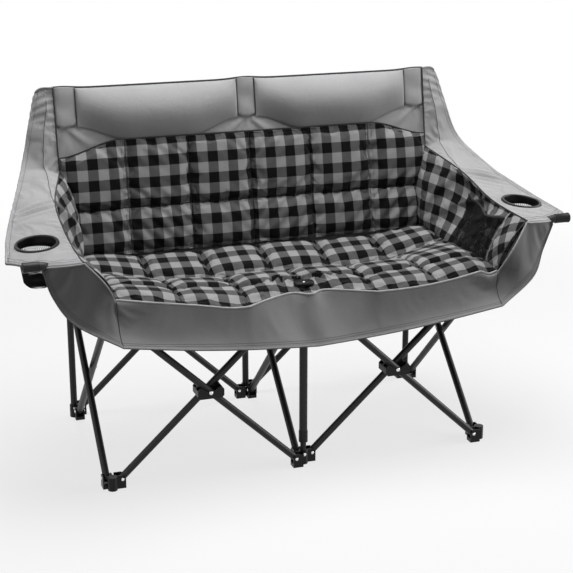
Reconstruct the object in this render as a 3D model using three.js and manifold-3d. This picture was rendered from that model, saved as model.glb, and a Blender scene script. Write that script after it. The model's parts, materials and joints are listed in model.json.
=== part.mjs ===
// Folding camping loveseat: six feet, seven scissor pairs of steel tube, three back posts that carry
// sliding hubs, a telescoping front post, two swinging arm tubes and a quilted fabric shell.
// Millimetres, +Z up, +X to the sitter's left as seen from the front, -Y towards the front.
import * as THREE from 'three';
import { mergeVertices } from 'three/addons/utils/BufferGeometryUtils.js';
import Module from 'manifold-3d';

const wasm = await Module();
wasm.setup();

// Layout of the frame
const BAY = 525; // distance between neighbouring feet, across and fore-and-aft
const FOOT_PIVOT_Z = 25; // height of the lower tube pivots
const HUB_PIVOT_Z = 468; // height of the upper tube pivots with the seat open
const PIVOT_INSET = 27; // pivot distance from the axis of its foot or hub
const ACROSS_PLANE = 13.5; // offset of each tube of an across pair from its row
const FORE_AFT_PLANE = 10.5; // offset of each tube of a fore-and-aft pair from its column
const BACK_HEIGHT = 963; // top of the back posts

// Tubes, pins and clearances
const TUBE_R = 9.5;
const TUBE_WALL = 1.2;
const TUBE_SIDES = 10;
const TUBE_END = 9; // tube length past its end pivots
const PIN_R = 2.5;
const PIN_SIDES = 6;
const PIN_PLAY = 0.2; // radial clearance of a pin in its tube
const FIT = 0.3; // gap between pieces that touch
const SWING_PLAY = 0.4; // side clearance of a tube between its ears
const OVERCUT = 1; // reach of a cutter past the face that it leaves
const ROUND_SIDES = 16; // sides of turned and moulded round pieces

// Plastic feet and hubs
const EAR = 3.2;
const EAR_START = 8; // start of the ears, inside the socket or core that carries them
const EAR_TIP = 9; // ear length past its pivot
const EAR_ROUND = 11;
const FOOT_HEIGHT = 37;
const FOOT_BASE = 10;
const SOCKET_WALL = 3.3;
const SOCKET_FLOOR = 6;
const HUB_TOP = 18; // height of a hub's top face over its pivots
const HUB_PLATE = 4;
const CORNER_FINGER_R = 6; // boss under each front seat corner
const HUB_DROP = 9; // depth of a hub's ears under its pivots
const SLIDER_PLAY = 0.4;
const SLIDER_DROP = 22; // depth of the guide sleeve under the pivots

// Scissor brackets
const BRACKET_HALF = 35.5;
const BRACKET_LOW = 16;
const BRACKET_HIGH = 14;
const BRACKET_BEVEL = 6.4;
const BRACKET_WEB = 3.4;
const BRACKET_COVER = 3;

// Telescoping front post and the knob over it
const INNER_POST_R = 8;
const INNER_POST_TOP = 400;
const OUTER_POST_R = 11;
const OUTER_POST_BOTTOM = 92;
const COLLAR_WALL = 1; // collar wall round the outer post
const COLLAR_DROP = 29; // collar length under the outer post
const COLLAR_LIP = 3; // collar length over the end of the outer post
const KNOB_R = 17;
const KNOB_FOOT_R = 14;
const KNOB_TOP_R = 8; // flat top of the knob
const KNOB_FLARE = 14; // height over which the knob widens
const KNOB_SHOULDER = 8; // height of its rounded top
const KNOB_PLAY = 1; // gap between the knob and the hole in the seat
const KNOB_RISE = 30; // height of the knob over the hub's top face

// Arms
const ARM_TUBE_R = 11;
const ARM_STEPS = 16;
const ARM_PIVOT_OUT = 24; // arm pivot distance from its hub's axis
const ARM_PIVOT_RISE = 10; // arm pivot over the tube pivots
const ARM_FORWARD = 3; // arm pivot plane in front of the front row
const ARM_STRAIGHT = 70; // straight length over the arm pivot
const ARM_CAP_WALL = 1.2;
const ARM_CAP_LENGTH = 30; // cap length past the end of the arm tube
const ARM_CAP_GRIP = 14; // straight end of the arm tube, which the cap's sleeve covers
const ARM_CAP_SHOW = 2; // straight tube left in front of the cap's sleeve
const CUP_BORE_R = 47.5;
const CUP_RING_WALL = 5.5;
const CUP_RING_LIP = 2; // width of the rim that lies on the arm
const CUP_RIM = 4; // height of that rim
const CUP_RIM_EDGE = 1; // bevel of the rim
const CUP_RING_HEIGHT = 16;
const CUP_DEPTH = 100;
const CUP_CLOTH = 2;
const CUP_TAPER = 9; // how far the pocket draws in towards its bottom
const CUP_ROUND = 8; // round of its bottom edge
const CUP_SIDES = 20;

// Seat
const SEAT_SIDE_GAP = 8; // from a seat corner to its hub's axis
const SEAT_CLEAR = 0.8; // seat over the hubs' top faces
const SEAT_SAG = 6;
const SEAT_SIDE_LIFT = 10;
const SEAT_CORNER_LIFT = 25;
const SEAT_LIFT_POWER = 4; // how late those lifts set in towards the sides
const SEAT_PAD = 16.2; // thickness of the seat at its seams
const SEAT_PUFF = 14;
const SEAT_OVERHANG = 82.5; // seat in front of the front row of hubs
const SEAT_NOTCH = 75; // how far the front edge draws back at the middle
const SEAT_NOTCH_RUN = 175; // half length of that draw
const SEAT_TONGUE = 46; // how far the edge comes forward again under the knob
const SEAT_TONGUE_RUN = 26; // half width of that tongue
const SEAT_ROW_SEAM = 0; // the seat folds down along the seam between its two rows
const SEAT_DIP = 36; // how far it hangs down there
const SEAT_DIP_RUN = 42; // from the front row of hubs to where it starts to fall
const SEAT_BACK_GAP = 5.7; // from the seat's quilting to the back's
const SEAT_FLAP = 4; // cloth behind the quilting, on the sliding hubs
const SEAT_FLAP_STEP = 4; // run over which the quilting ends in the flap
const SEAT_FLAP_GAP = 8; // from the flap to the back posts
const QUILT_COLUMN = BAY / 3;

// Back
const PANEL_POST_GAP = 1.5; // from the back panel to the posts at its top edge
const PANEL_LEAN = 0.1775; // rearward lean of the back per unit of height
const PANEL_SIDE = 20; // back panel outside the outer posts' axes
const PANEL_CLOTH = 5;
const PANEL_TOP_DROP = 1; // top edge of the cloth under the posts' tops
const BACK_PAD = 14;
const BACK_PUFF = 16;
const BACK_RISE = 34; // quilting of the back over the hubs' top faces
const BACK_LOW_ROW = 117; // height of its lower row
const BACK_TOP_GAP = 140; // from its upper edge to the posts' tops
const BACK_TOP_DROP = 40; // fall of that edge beside the outer posts
const BACK_TOP_FLAT = 370; // half length of the level stretch of that edge
const PILLOW_GAP = 28; // half width of the strip between pillow and post
const PILLOW_SEAM = 7; // from the quilting to the pillows
const PILLOW_CORNER = 42; // rise of the pillow's lower edge at its ends
const PILLOW_CORNER_RUN = 150;
const PILLOW_BASE = 4;
const PILLOW_CROWN = 34;
const POCKET_WALL = 3.2;
const POCKET_DEPTH = 115;
const POCKET_CAP = 4;

// Sides and apron
const CLOTH = 5;
const BOLSTER_PAD = 14;
const BOLSTER_BULGE = 12;
const BOLSTER_LIP = 3; // thickness of a bolster at its upper edge
const BOLSTER_TOP_GAP = 221; // from a bolster's rear top corner to the posts' tops
const WING_END = 1 / 3; // share of the piping that runs beside the wing
const WING_SIDE = 2 / 3; // share of the wing that runs down the back panel's side
const ARM_PAD = 6;
const ARM_FRONT_BOW = 27; // forward bow of the arm's front edge
const APRON_CLOTH = 3;
const APRON_GAP = 0.8; // gap between the apron and the edges that it is sewn to
const APRON_BULGE = 14;
const APRON_STAND = 22; // how far the apron stands off the front of a bolster
const APRON_BOW = 10; // inward bow of its edge there
const APRON_ARM_SHARE = 0.5; // share of the arm's front edge that the apron reaches
const APRON_FOLD = 10; // depth of the folds that fall from the knob
const APRON_FOLD_PITCH = 120;
const APRON_FOLD_RUN = 150; // half length of the folded stretch
const APRON_RIDGE = 16; // height of the fold that runs from each seat corner to the hem
const APRON_RIDGE_RUN = 330; // length of that fold across the apron
const APRON_RIDGE_WIDTH = 0.22; // half width of that fold, as a share of the apron's height
const HEM_DIP = 8; // fall of the hem between the middle and its corners

// Outline points of the right side, from the right front hub's pivots or the right back post's top
const ARM_TUBE_END = [187, -45.5, 151];
const CUP_HOLDER = [149, 91.5, 192];
const ARM_INNER_EDGE = [[60, 299.5, 230], [65, 112.5, 189], [67, -92.5, 180]];
const ARM_OUTER_EDGE = [[177, 299.5, 222], [213, 162.5, 188], [237, 15.5, 166]];
const WING_OUTER_EDGE = [[71, -6.5, 2], [97, -30.5, -95], [123, -72.5, -195]];
const HEM_SIDE_EDGE = [[95, -121.5, 35], [139, -89.5, 98], [161, -70.5, 160]];

// Hem points, from the right front corner and the middle of the seat's front edge
const HEM_CORNER_DROP = [-6, -53, -31];
const HEM_MIDDLE_DROP = [0, -33, -91];

const COLUMNS = [['left', -BAY], ['center', 0], ['right', BAY]];
const ROWS = [['front', -BAY / 2], ['rear', BAY / 2]];
const FRONT_Y = ROWS[0][1];
const REAR_Y = ROWS[1][1];
const ARM_Y = FRONT_Y - ARM_FORWARD;
const ARM_PIVOT_Z = HUB_PIVOT_Z + ARM_PIVOT_RISE;
const HUB_FACE = HUB_PIVOT_Z + HUB_TOP;
const EAR_REACH = PIVOT_INSET + EAR_TIP;
const SLIDER_R = TUBE_R + SLIDER_PLAY;
const SOCKET_R = TUBE_R + FIT + SOCKET_WALL;
const EAR_GAP = TUBE_R + SWING_PLAY; // from a tube's plane to the inside of its ears
const EAR_OUT = EAR_GAP + EAR;

// A place measured from the right front hub, or from the top of the right back post.
const fromHub = ([x, y, z]) => [BAY + x, FRONT_Y + y, HUB_PIVOT_Z + z];
const fromPost = ([x, y, z]) => [BAY + x, REAR_Y + y, BACK_HEIGHT + z];

const ARM_END = fromHub(ARM_TUBE_END);
const ARM_CAP_R = ARM_TUBE_R + FIT + ARM_CAP_WALL;
const CUP_CENTRE = fromHub(CUP_HOLDER);
const CUP_RING_TOP = CUP_CENTRE[2];
const CUP_RING_FOOT = CUP_RING_TOP - CUP_RING_HEIGHT;
const CUP_RING_R = CUP_BORE_R + CUP_RING_WALL + CUP_RING_LIP;
const SEAT_HALF = BAY - SEAT_SIDE_GAP;
const SEAT_SEAM = HUB_FACE + SEAT_CLEAR + SEAT_PAD; // height of the seat's quilt seams at the middle
const SEAT_FRONT = FRONT_Y - SEAT_OVERHANG;
const SEAT_DIP_FROM = FRONT_Y + SEAT_DIP_RUN;
const SEAT_FLAP_TOP = HUB_FACE + FIT + SEAT_FLAP;
const SEAT_FLAP_END = REAR_Y - TUBE_R - SEAT_FLAP_GAP;
const PANEL_TOP = BACK_HEIGHT - PANEL_TOP_DROP;
const PANEL_TOP_Y = REAR_Y - TUBE_R - PANEL_POST_GAP - PANEL_CLOTH;
const PANEL_BOTTOM = SEAT_FLAP_TOP + FIT;
const PANEL_HALF = BAY + PANEL_SIDE;
const BACK_BOTTOM = HUB_FACE + BACK_RISE;
const BACK_ROW_SEAM = BACK_BOTTOM + BACK_LOW_ROW;
const BACK_TOP = BACK_HEIGHT - BACK_TOP_GAP;
const SEAT_BACK_EDGE = panelFront(BACK_BOTTOM) - FIT - BACK_PAD - SEAT_BACK_GAP;
const PILLOW_BOTTOM = BACK_TOP + PILLOW_SEAM;
const POCKET_R = TUBE_R + FIT + POCKET_WALL;
const BOLSTER_TOP = BACK_HEIGHT - BOLSTER_TOP_GAP;
const HEM_KINK = [SEAT_HALF + HEM_CORNER_DROP[0], SEAT_FRONT + HEM_CORNER_DROP[1],
  HUB_PIVOT_Z + HEM_CORNER_DROP[2]];
const HEM_CENTRE = [HEM_MIDDLE_DROP[0], SEAT_FRONT + HEM_MIDDLE_DROP[1], HUB_PIVOT_Z + HEM_MIDDLE_DROP[2]];
const REAR_END = REAR_Y + ACROSS_PLANE + EAR_OUT; // rear faces of the feet

const FINISH = {
  tube: { color: 0x1c1d1f, roughness: 0.45, metalness: 0.4 },
  plastic: { color: 0x0b0b0c, roughness: 0.38, metalness: 0 },
  shell: { color: 0x8f9092, roughness: 0.9, metalness: 0 },
  apron: { color: 0x747577, roughness: 0.9, metalness: 0 },
  plaid: { color: 0x4c4c4e, roughness: 0.95, metalness: 0 },
  mesh: { color: 0x121213, roughness: 0.9, metalness: 0 },
};

const loveseat = new THREE.Group();
loveseat.position.y = -(HEM_KINK[1] + REAR_END) / 2; // brings the origin below the middle

// Solids and placing

function solid(geometry) {
  const bare = geometry.index ? geometry.toNonIndexed() : geometry.clone();
  bare.deleteAttribute('normal');
  bare.deleteAttribute('uv');
  const merged = mergeVertices(bare, 1e-4);
  const vertProperties = new Float32Array(merged.attributes.position.array);
  const triVerts = new Uint32Array(merged.index.array);
  return new wasm.Manifold(new wasm.Mesh({ numProp: 3, vertProperties, triVerts }));
}

function geometryOf(manifold) {
  const mesh = manifold.getMesh();
  const geometry = new THREE.BufferGeometry();
  geometry.setAttribute('position', new THREE.BufferAttribute(mesh.vertProperties, 3));
  geometry.setIndex(new THREE.BufferAttribute(mesh.triVerts, 1));
  geometry.computeVertexNormals();
  return geometry;
}

function join(geometries) {
  return geometries.map(solid).reduce((sum, piece) => sum.add(piece));
}

function addPart(name, shape, finish) {
  const geometry = shape.isBufferGeometry ? shape : geometryOf(shape);
  const mesh = new THREE.Mesh(geometry, new THREE.MeshStandardMaterial(FINISH[finish]));
  mesh.name = name;
  loveseat.add(mesh);
}

function turned(geometry, matrix) {
  const result = geometry.index ? geometry.toNonIndexed() : geometry.clone();
  result.applyMatrix4(matrix);
  if (matrix.determinant() < 0) {
    const place = result.attributes.position;
    for (let i = 0; i < place.count; i += 3) {
      const first = new THREE.Vector3().fromBufferAttribute(place, i);
      const second = new THREE.Vector3().fromBufferAttribute(place, i + 1);
      place.setXYZ(i, second.x, second.y, second.z);
      place.setXYZ(i + 1, first.x, first.y, first.z);
    }
  }
  return result;
}

function mirrored(geometry) {
  return turned(geometry, new THREE.Matrix4().makeScale(-1, 1, 1));
}

function box(x0, x1, y0, y1, z0, z1) {
  const geometry = new THREE.BoxGeometry(Math.abs(x1 - x0), Math.abs(y1 - y0), Math.abs(z1 - z0));
  return geometry.translate((x0 + x1) / 2, (y0 + y1) / 2, (z0 + z1) / 2);
}

// A round bar from one point to another, with a flat facing the given side.
function bar(from, to, radius, sides, facing = new THREE.Vector3(0, 1, 0)) {
  const along = to.clone().sub(from);
  const length = along.length();
  along.normalize();
  const side = new THREE.Vector3().crossVectors(facing, along).normalize();
  const front = new THREE.Vector3().crossVectors(along, side);
  const geometry = new THREE.CylinderGeometry(radius, radius, length, sides);
  geometry.rotateY(Math.PI / sides);
  const middle = from.clone().add(to).multiplyScalar(0.5);
  const matrix = new THREE.Matrix4().makeBasis(side, along, front).setPosition(middle);
  return turned(geometry, matrix);
}

// A level pin, and the cutter of the hole that it turns in.
function pin(from, to, radius = PIN_R) {
  return bar(from, to, radius, PIN_SIDES, new THREE.Vector3(0, 0, 1));
}

function pinHole(from, to) {
  return solid(pin(from, to, (PIN_R + PIN_PLAY) / Math.cos(Math.PI / PIN_SIDES)));
}

function upright(x, y, z0, z1, radius, sides = TUBE_SIDES) {
  return bar(new THREE.Vector3(x, y, z0), new THREE.Vector3(x, y, z1), radius, sides);
}

// The cutter of an upright round hole that clears the given radius on every side.
function hole(x, y, z0, z1, radius, sides = TUBE_SIDES) {
  return solid(upright(x, y, z0, z1, radius / Math.cos(Math.PI / sides), sides));
}

// A hollow straight tube, open at both ends.
function tube(from, to, radius, wall, facing) {
  const along = to.clone().sub(from).normalize();
  const start = from.clone().addScaledVector(along, -OVERCUT);
  const end = to.clone().addScaledVector(along, OVERCUT);
  const bore = bar(start, end, radius - wall, TUBE_SIDES, facing);
  return solid(bar(from, to, radius, TUBE_SIDES, facing)).subtract(solid(bore));
}

// A solid of revolution about the upright axis through (x, y), from [radius, height] points.
function revolved(x, y, points, segments = ROUND_SIDES) {
  const profile = points.map(([r, z]) => new THREE.Vector2(r, z));
  const geometry = new THREE.LatheGeometry(profile, segments);
  return geometry.rotateX(Math.PI / 2).translate(x, y, 0);
}

// A closed cloth or pad between a face and the same face moved by an offset, on a grid of stops.
function padded(face, offset, across, along) {
  const corners = [];
  for (const layer of [0, 1]) {
    for (const v of along) {
      for (const u of across) {
        const point = face(u, v);
        if (layer) point.add(offset(u, v));
        corners.push(point);
      }
    }
  }
  const columns = across.length - 1;
  const rows = along.length - 1;
  const at = (layer, c, r) => (layer * (rows + 1) + r) * (columns + 1) + c;
  const index = [];
  const quad = (a, b, c, d) => index.push(a, b, c, a, c, d);
  for (let r = 0; r < rows; r += 1) {
    for (let c = 0; c < columns; c += 1) {
      quad(at(0, c, r), at(0, c + 1, r), at(0, c + 1, r + 1), at(0, c, r + 1));
      quad(at(1, c, r + 1), at(1, c + 1, r + 1), at(1, c + 1, r), at(1, c, r));
    }
  }
  for (let c = 0; c < columns; c += 1) {
    quad(at(1, c, 0), at(1, c + 1, 0), at(0, c + 1, 0), at(0, c, 0));
    quad(at(0, c, rows), at(0, c + 1, rows), at(1, c + 1, rows), at(1, c, rows));
  }
  for (let r = 0; r < rows; r += 1) {
    quad(at(0, 0, r), at(0, 0, r + 1), at(1, 0, r + 1), at(1, 0, r));
    quad(at(1, columns, r), at(1, columns, r + 1), at(0, columns, r + 1), at(0, columns, r));
  }
  let volume = 0;
  for (let i = 0; i < index.length; i += 3) {
    const [a, b, c] = index.slice(i, i + 3).map((k) => corners[k]);
    volume += a.dot(new THREE.Vector3().crossVectors(b, c));
  }
  const geometry = new THREE.BufferGeometry().setFromPoints(corners);
  geometry.setIndex(volume > 0 ? index : index.reverse());
  return geometry;
}

function stops(count, from = 0, to = 1) {
  return Array.from({ length: count + 1 }, (_, i) => from + (to - from) * i / count);
}

function curve(points) {
  return new THREE.CatmullRomCurve3(points.map((p) => new THREE.Vector3(...p)));
}

function smooth(t) {
  const c = THREE.MathUtils.clamp(t, 0, 1);
  return c * c * (3 - 2 * c);
}

// Joint places: a tube end lies along +-x or +-y of its foot or hub, in a plane beside the axis

const ALONG_X = new THREE.Vector3(1, 0, 0);
const ALONG_Y = new THREE.Vector3(0, 1, 0);

function tubeEnds(column, row, atFoot) {
  const lowSide = atFoot ? 1 : -1;
  const ends = [];
  if (column < 2) ends.push({ axis: 'x', way: 1, plane: lowSide * ACROSS_PLANE });
  if (column > 0) ends.push({ axis: 'x', way: -1, plane: -lowSide * ACROSS_PLANE });
  const inward = row === 0 ? 1 : -1;
  ends.push({ axis: 'y', way: inward, plane: -lowSide * inward * FORE_AFT_PLANE });
  return ends;
}

// Maps (along the tube, across it, up) at a foot or hub to the frame's own axes.
function endMatrix(end, x, y) {
  const along = end.axis === 'x' ? ALONG_X : ALONG_Y;
  const across = end.axis === 'x' ? ALONG_Y : ALONG_X;
  const matrix = new THREE.Matrix4().makeBasis(along.clone().multiplyScalar(end.way), across,
    new THREE.Vector3(0, 0, 1));
  return matrix.setPosition(x, y, 0);
}

function earOutline(z0, z1, pivotZ) {
  const shape = new THREE.Shape();
  const roundAbove = z1 - pivotZ < pivotZ - z0;
  shape.moveTo(EAR_START, z0);
  if (roundAbove) {
    shape.lineTo(EAR_REACH, z0);
    shape.lineTo(EAR_REACH, z1 - EAR_ROUND);
    shape.absarc(EAR_REACH - EAR_ROUND, z1 - EAR_ROUND, EAR_ROUND, 0, Math.PI / 2, false);
  } else {
    shape.lineTo(EAR_REACH - EAR_ROUND, z0);
    shape.absarc(EAR_REACH - EAR_ROUND, z0 + EAR_ROUND, EAR_ROUND, -Math.PI / 2, 0, false);
    shape.lineTo(EAR_REACH, z1);
  }
  shape.lineTo(EAR_START, z1);
  return shape;
}

// The two ears of a tube end, their pin, and the plate that joins them.
function clevis(end, x, y, z0, z1, pivotZ, plate) {
  const matrix = endMatrix(end, x, y);
  const upFromAcross = new THREE.Matrix4().makeRotationX(Math.PI / 2);
  const pieces = [];
  for (const inside of [end.plane - EAR_OUT, end.plane + EAR_GAP]) {
    const ear = new THREE.ExtrudeGeometry(earOutline(z0, z1, pivotZ),
      { depth: EAR, bevelEnabled: false, curveSegments: 3 });
    ear.applyMatrix4(upFromAcross).translate(0, inside + EAR, 0);
    pieces.push(turned(ear, matrix));
  }
  const inset = EAR / 2;
  const pinStart = new THREE.Vector3(PIVOT_INSET, end.plane - EAR_OUT + inset, pivotZ);
  const pinEnd = new THREE.Vector3(PIVOT_INSET, end.plane + EAR_OUT - inset, pivotZ);
  pieces.push(turned(pin(pinStart, pinEnd), matrix));
  const [p0, p1] = plate;
  pieces.push(turned(box(EAR_START, EAR_REACH, end.plane - EAR_OUT, end.plane + EAR_OUT, p0, p1), matrix));
  return pieces;
}

function hasPost(column, row) {
  return row === 1 || column === 1;
}

function postRadius(row) {
  return row === 1 ? TUBE_R : INNER_POST_R;
}

function makeFeet() {
  COLUMNS.forEach(([side, x], column) => ROWS.forEach(([end, y], row) => {
    const pieces = tubeEnds(column, row, true).flatMap((tubeEnd) => clevis(tubeEnd, x, y, 0,
      FOOT_HEIGHT, FOOT_PIVOT_Z, [0, FOOT_BASE]));
    pieces.push(upright(x, y, 0, FOOT_HEIGHT, SOCKET_R));
    let foot = join(pieces);
    if (hasPost(column, row)) {
      foot = foot.subtract(hole(x, y, SOCKET_FLOOR, FOOT_HEIGHT + OVERCUT, postRadius(row) + FIT));
    }
    addPart(`foot_${end}_${side}`, foot, 'plastic');
  }));
}

function makeHubs() {
  COLUMNS.forEach(([side, x], column) => ROWS.forEach(([end, y], row) => {
    const plate = [HUB_FACE - HUB_PLATE, HUB_FACE];
    const pieces = tubeEnds(column, row, false).flatMap((tubeEnd) => clevis(tubeEnd, x, y,
      HUB_PIVOT_Z - HUB_DROP, HUB_FACE, HUB_PIVOT_Z, plate));
    const outerPost = row === 0 && column === 1;
    const corner = row === 0 && !outerPost;
    if (row === 1) {
      pieces.push(upright(x, y, HUB_PIVOT_Z - SLIDER_DROP, HUB_FACE, SOCKET_R));
      const guide = hole(x, y, HUB_PIVOT_Z - SLIDER_DROP - OVERCUT, HUB_FACE + OVERCUT, SLIDER_R);
      addPart(`slider_${end}_${side}`, join(pieces).subtract(guide), 'plastic');
      return;
    }
    if (corner) {
      const way = Math.sign(x);
      const half = ARM_TUBE_R + SWING_PLAY;
      const pivotX = x + way * ARM_PIVOT_OUT;
      const reach = pivotX + way * EAR_ROUND;
      for (const face of [ARM_Y - half - EAR, ARM_Y + half]) {
        pieces.push(box(x, reach, face, face + EAR, HUB_PIVOT_Z - HUB_DROP, HUB_FACE));
      }
      const inset = EAR / 2;
      pieces.push(pin(new THREE.Vector3(pivotX, ARM_Y - half - inset, ARM_PIVOT_Z),
        new THREE.Vector3(pivotX, ARM_Y + half + inset, ARM_PIVOT_Z)));
      const core = ARM_PIVOT_OUT - Math.hypot(TUBE_END, ARM_TUBE_R) - SWING_PLAY;
      pieces.push(box(x - core, x + core, ARM_Y - half - EAR, ARM_Y + half + EAR,
        HUB_PIVOT_Z - HUB_DROP, HUB_FACE));
      const finger = x - way * (BAY - SEAT_HALF + CORNER_FINGER_R + FIT);
      const fingerTop = seatUnder(finger - way * CORNER_FINGER_R, y + CORNER_FINGER_R) - FIT;
      pieces.push(upright(finger, y, HUB_FACE - HUB_PLATE, fingerTop, CORNER_FINGER_R));
      addPart(`hub_${end}_${side}`, join(pieces), 'plastic');
      return;
    }
    pieces.push(upright(x, y, HUB_PIVOT_Z - HUB_DROP, HUB_FACE, SOCKET_R));
    const socket = hole(x, y, HUB_PIVOT_Z - HUB_DROP - OVERCUT, HUB_FACE - HUB_PLATE, OUTER_POST_R + FIT);
    addPart(`hub_${end}_${side}`, join(pieces).subtract(socket), 'plastic');
  }));
}

// Scissor tubes: each has a pin hole at both ends and one at the crossing

const RUN = BAY - 2 * PIVOT_INSET;
const RISE = HUB_PIVOT_Z - FOOT_PIVOT_Z;

function scissorTube(low, high, facing, crossingHole = true) {
  const along = high.clone().sub(low).normalize();
  const from = low.clone().addScaledVector(along, -TUBE_END);
  const to = high.clone().addScaledVector(along, TUBE_END);
  const middle = low.clone().add(high).multiplyScalar(0.5);
  const reach = facing.clone().multiplyScalar(TUBE_R + OVERCUT);
  let body = tube(from, to, TUBE_R, TUBE_WALL, facing);
  for (const centre of crossingHole ? [low, middle, high] : [low, high]) {
    body = body.subtract(pinHole(centre.clone().sub(reach), centre.clone().add(reach)));
  }
  return body;
}

function acrossPair(end, side, x0, y) {
  const x1 = x0 + RUN;
  const falling = y - ACROSS_PLANE;
  const rising = y + ACROSS_PLANE;
  addPart(`tube_${end}_${side}_falling`, scissorTube(new THREE.Vector3(x1, falling, FOOT_PIVOT_Z),
    new THREE.Vector3(x0, falling, HUB_PIVOT_Z), ALONG_Y), 'tube');
  addPart(`tube_${end}_${side}_rising`, scissorTube(new THREE.Vector3(x0, rising, FOOT_PIVOT_Z),
    new THREE.Vector3(x1, rising, HUB_PIVOT_Z), ALONG_Y), 'tube');
  const crossing = scissorBracket((x0 + x1) / 2, y, FOOT_PIVOT_Z + RISE / 2);
  addPart(`bracket_${end}_${side}`, crossing, 'plastic');
}

// A moulded bracket round a crossing: a spacer between the tubes and a cover on each side.
function scissorBracket(x, y, z) {
  const low = -BRACKET_LOW;
  const high = BRACKET_HIGH;
  const half = BRACKET_HALF;
  const bevel = BRACKET_BEVEL;
  const outline = new THREE.Shape();
  outline.moveTo(-half, low + bevel);
  outline.lineTo(-half + bevel, low);
  outline.lineTo(half - bevel, low);
  outline.lineTo(half, low + bevel);
  outline.lineTo(half, high - bevel);
  outline.lineTo(half - bevel, high);
  outline.lineTo(half - 2 * bevel, high);
  outline.lineTo(bevel, PIN_R);
  outline.lineTo(-bevel, PIN_R);
  outline.lineTo(2 * bevel - half, high);
  outline.lineTo(bevel - half, high);
  outline.lineTo(-half, high - bevel);
  const inner = ACROSS_PLANE - EAR_GAP;
  const outer = ACROSS_PLANE + EAR_GAP;
  const plates = [[-outer - BRACKET_COVER, BRACKET_COVER], [-inner, 2 * inner], [outer, BRACKET_COVER]];
  const pieces = plates.map(([start, depth]) => {
    const plate = new THREE.ExtrudeGeometry(outline, { depth, bevelEnabled: false });
    return plate.rotateX(Math.PI / 2).translate(x, y + start + depth, z);
  });
  const reach = outer + BRACKET_COVER;
  for (const way of [-1, 1]) {
    const x0 = x + way * (half - BRACKET_WEB);
    pieces.push(box(x0, x + way * half, y - reach, y + reach, z + low + bevel, z + high - bevel));
  }
  const pinReach = outer + BRACKET_COVER / 2;
  pieces.push(pin(new THREE.Vector3(x, y - pinReach, z), new THREE.Vector3(x, y + pinReach, z)));
  return join(pieces);
}

function foreAftPair(side, x) {
  const y0 = FRONT_Y + PIVOT_INSET;
  const y1 = REAR_Y - PIVOT_INSET;
  const west = x - FORE_AFT_PLANE;
  const east = x + FORE_AFT_PLANE;
  addPart(`tube_side_${side}_front_foot`, scissorTube(new THREE.Vector3(west, y0, FOOT_PIVOT_Z),
    new THREE.Vector3(west, y1, HUB_PIVOT_Z), ALONG_X), 'tube');
  const body = scissorTube(new THREE.Vector3(east, y1, FOOT_PIVOT_Z),
    new THREE.Vector3(east, y0, HUB_PIVOT_Z), ALONG_X, false);
  const crossing = new THREE.Vector3(east, 0, FOOT_PIVOT_Z + RISE / 2);
  const rivetEnd = crossing.clone().setX(west - TUBE_R);
  const rivetRoot = crossing.clone().setX(east + TUBE_R - TUBE_WALL);
  addPart(`tube_side_${side}_rear_foot`, body.add(solid(pin(rivetEnd, rivetRoot))), 'tube');
}

function makeTubes() {
  ROWS.forEach(([end, y]) => {
    acrossPair(end, 'left', -BAY + PIVOT_INSET, y);
    acrossPair(end, 'right', PIVOT_INSET, y);
  });
  COLUMNS.forEach(([side, x]) => foreAftPair(side, x));
}

function makePosts() {
  const postFoot = SOCKET_FLOOR + FIT;
  COLUMNS.forEach(([side, x]) => {
    addPart(`back_post_${side}`, tube(new THREE.Vector3(x, REAR_Y, postFoot),
      new THREE.Vector3(x, REAR_Y, BACK_HEIGHT), TUBE_R, TUBE_WALL, ALONG_Y), 'tube');
  });
  addPart('front_post_inner', tube(new THREE.Vector3(0, FRONT_Y, postFoot),
    new THREE.Vector3(0, FRONT_Y, INNER_POST_TOP), INNER_POST_R, TUBE_WALL, ALONG_Y), 'tube');
  addPart('front_post_outer', tube(new THREE.Vector3(0, FRONT_Y, OUTER_POST_BOTTOM),
    new THREE.Vector3(0, FRONT_Y, HUB_FACE - HUB_PLATE - FIT), OUTER_POST_R, TUBE_WALL, ALONG_Y), 'tube');
  const seat = OUTER_POST_BOTTOM - FIT;
  const lip = OUTER_POST_BOTTOM + COLLAR_LIP;
  const foot = OUTER_POST_BOTTOM - COLLAR_DROP;
  const bore = INNER_POST_R + FIT;
  const grip = OUTER_POST_R + FIT;
  const outside = grip + COLLAR_WALL;
  const collar = [[bore, foot], [outside, foot], [outside, lip], [grip, lip], [grip, seat], [bore, seat],
    [bore, foot]];
  addPart('front_post_collar', revolved(0, FRONT_Y, collar), 'plastic');
  const knobFoot = HUB_FACE + FIT;
  const knobTop = HUB_FACE + KNOB_RISE;
  const shoulder = (turn) => [KNOB_TOP_R + (KNOB_R - KNOB_TOP_R) * Math.cos(turn),
    knobTop - KNOB_SHOULDER * (1 - Math.sin(turn))];
  addPart('seat_knob', revolved(0, FRONT_Y, [[0, knobFoot], [KNOB_FOOT_R, knobFoot],
    [KNOB_R, knobFoot + KNOB_FLARE], ...stops(3, 0, Math.PI / 2).map(shoulder), [0, knobTop]]), 'plastic');
}

// Arms: a bent tube on each front corner hub, its end cap, and the cup holder

const ARM_WAY = new THREE.Vector3(ARM_END[0] - BAY - ARM_PIVOT_OUT, 0, ARM_END[2] - ARM_PIVOT_Z).normalize();

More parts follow.
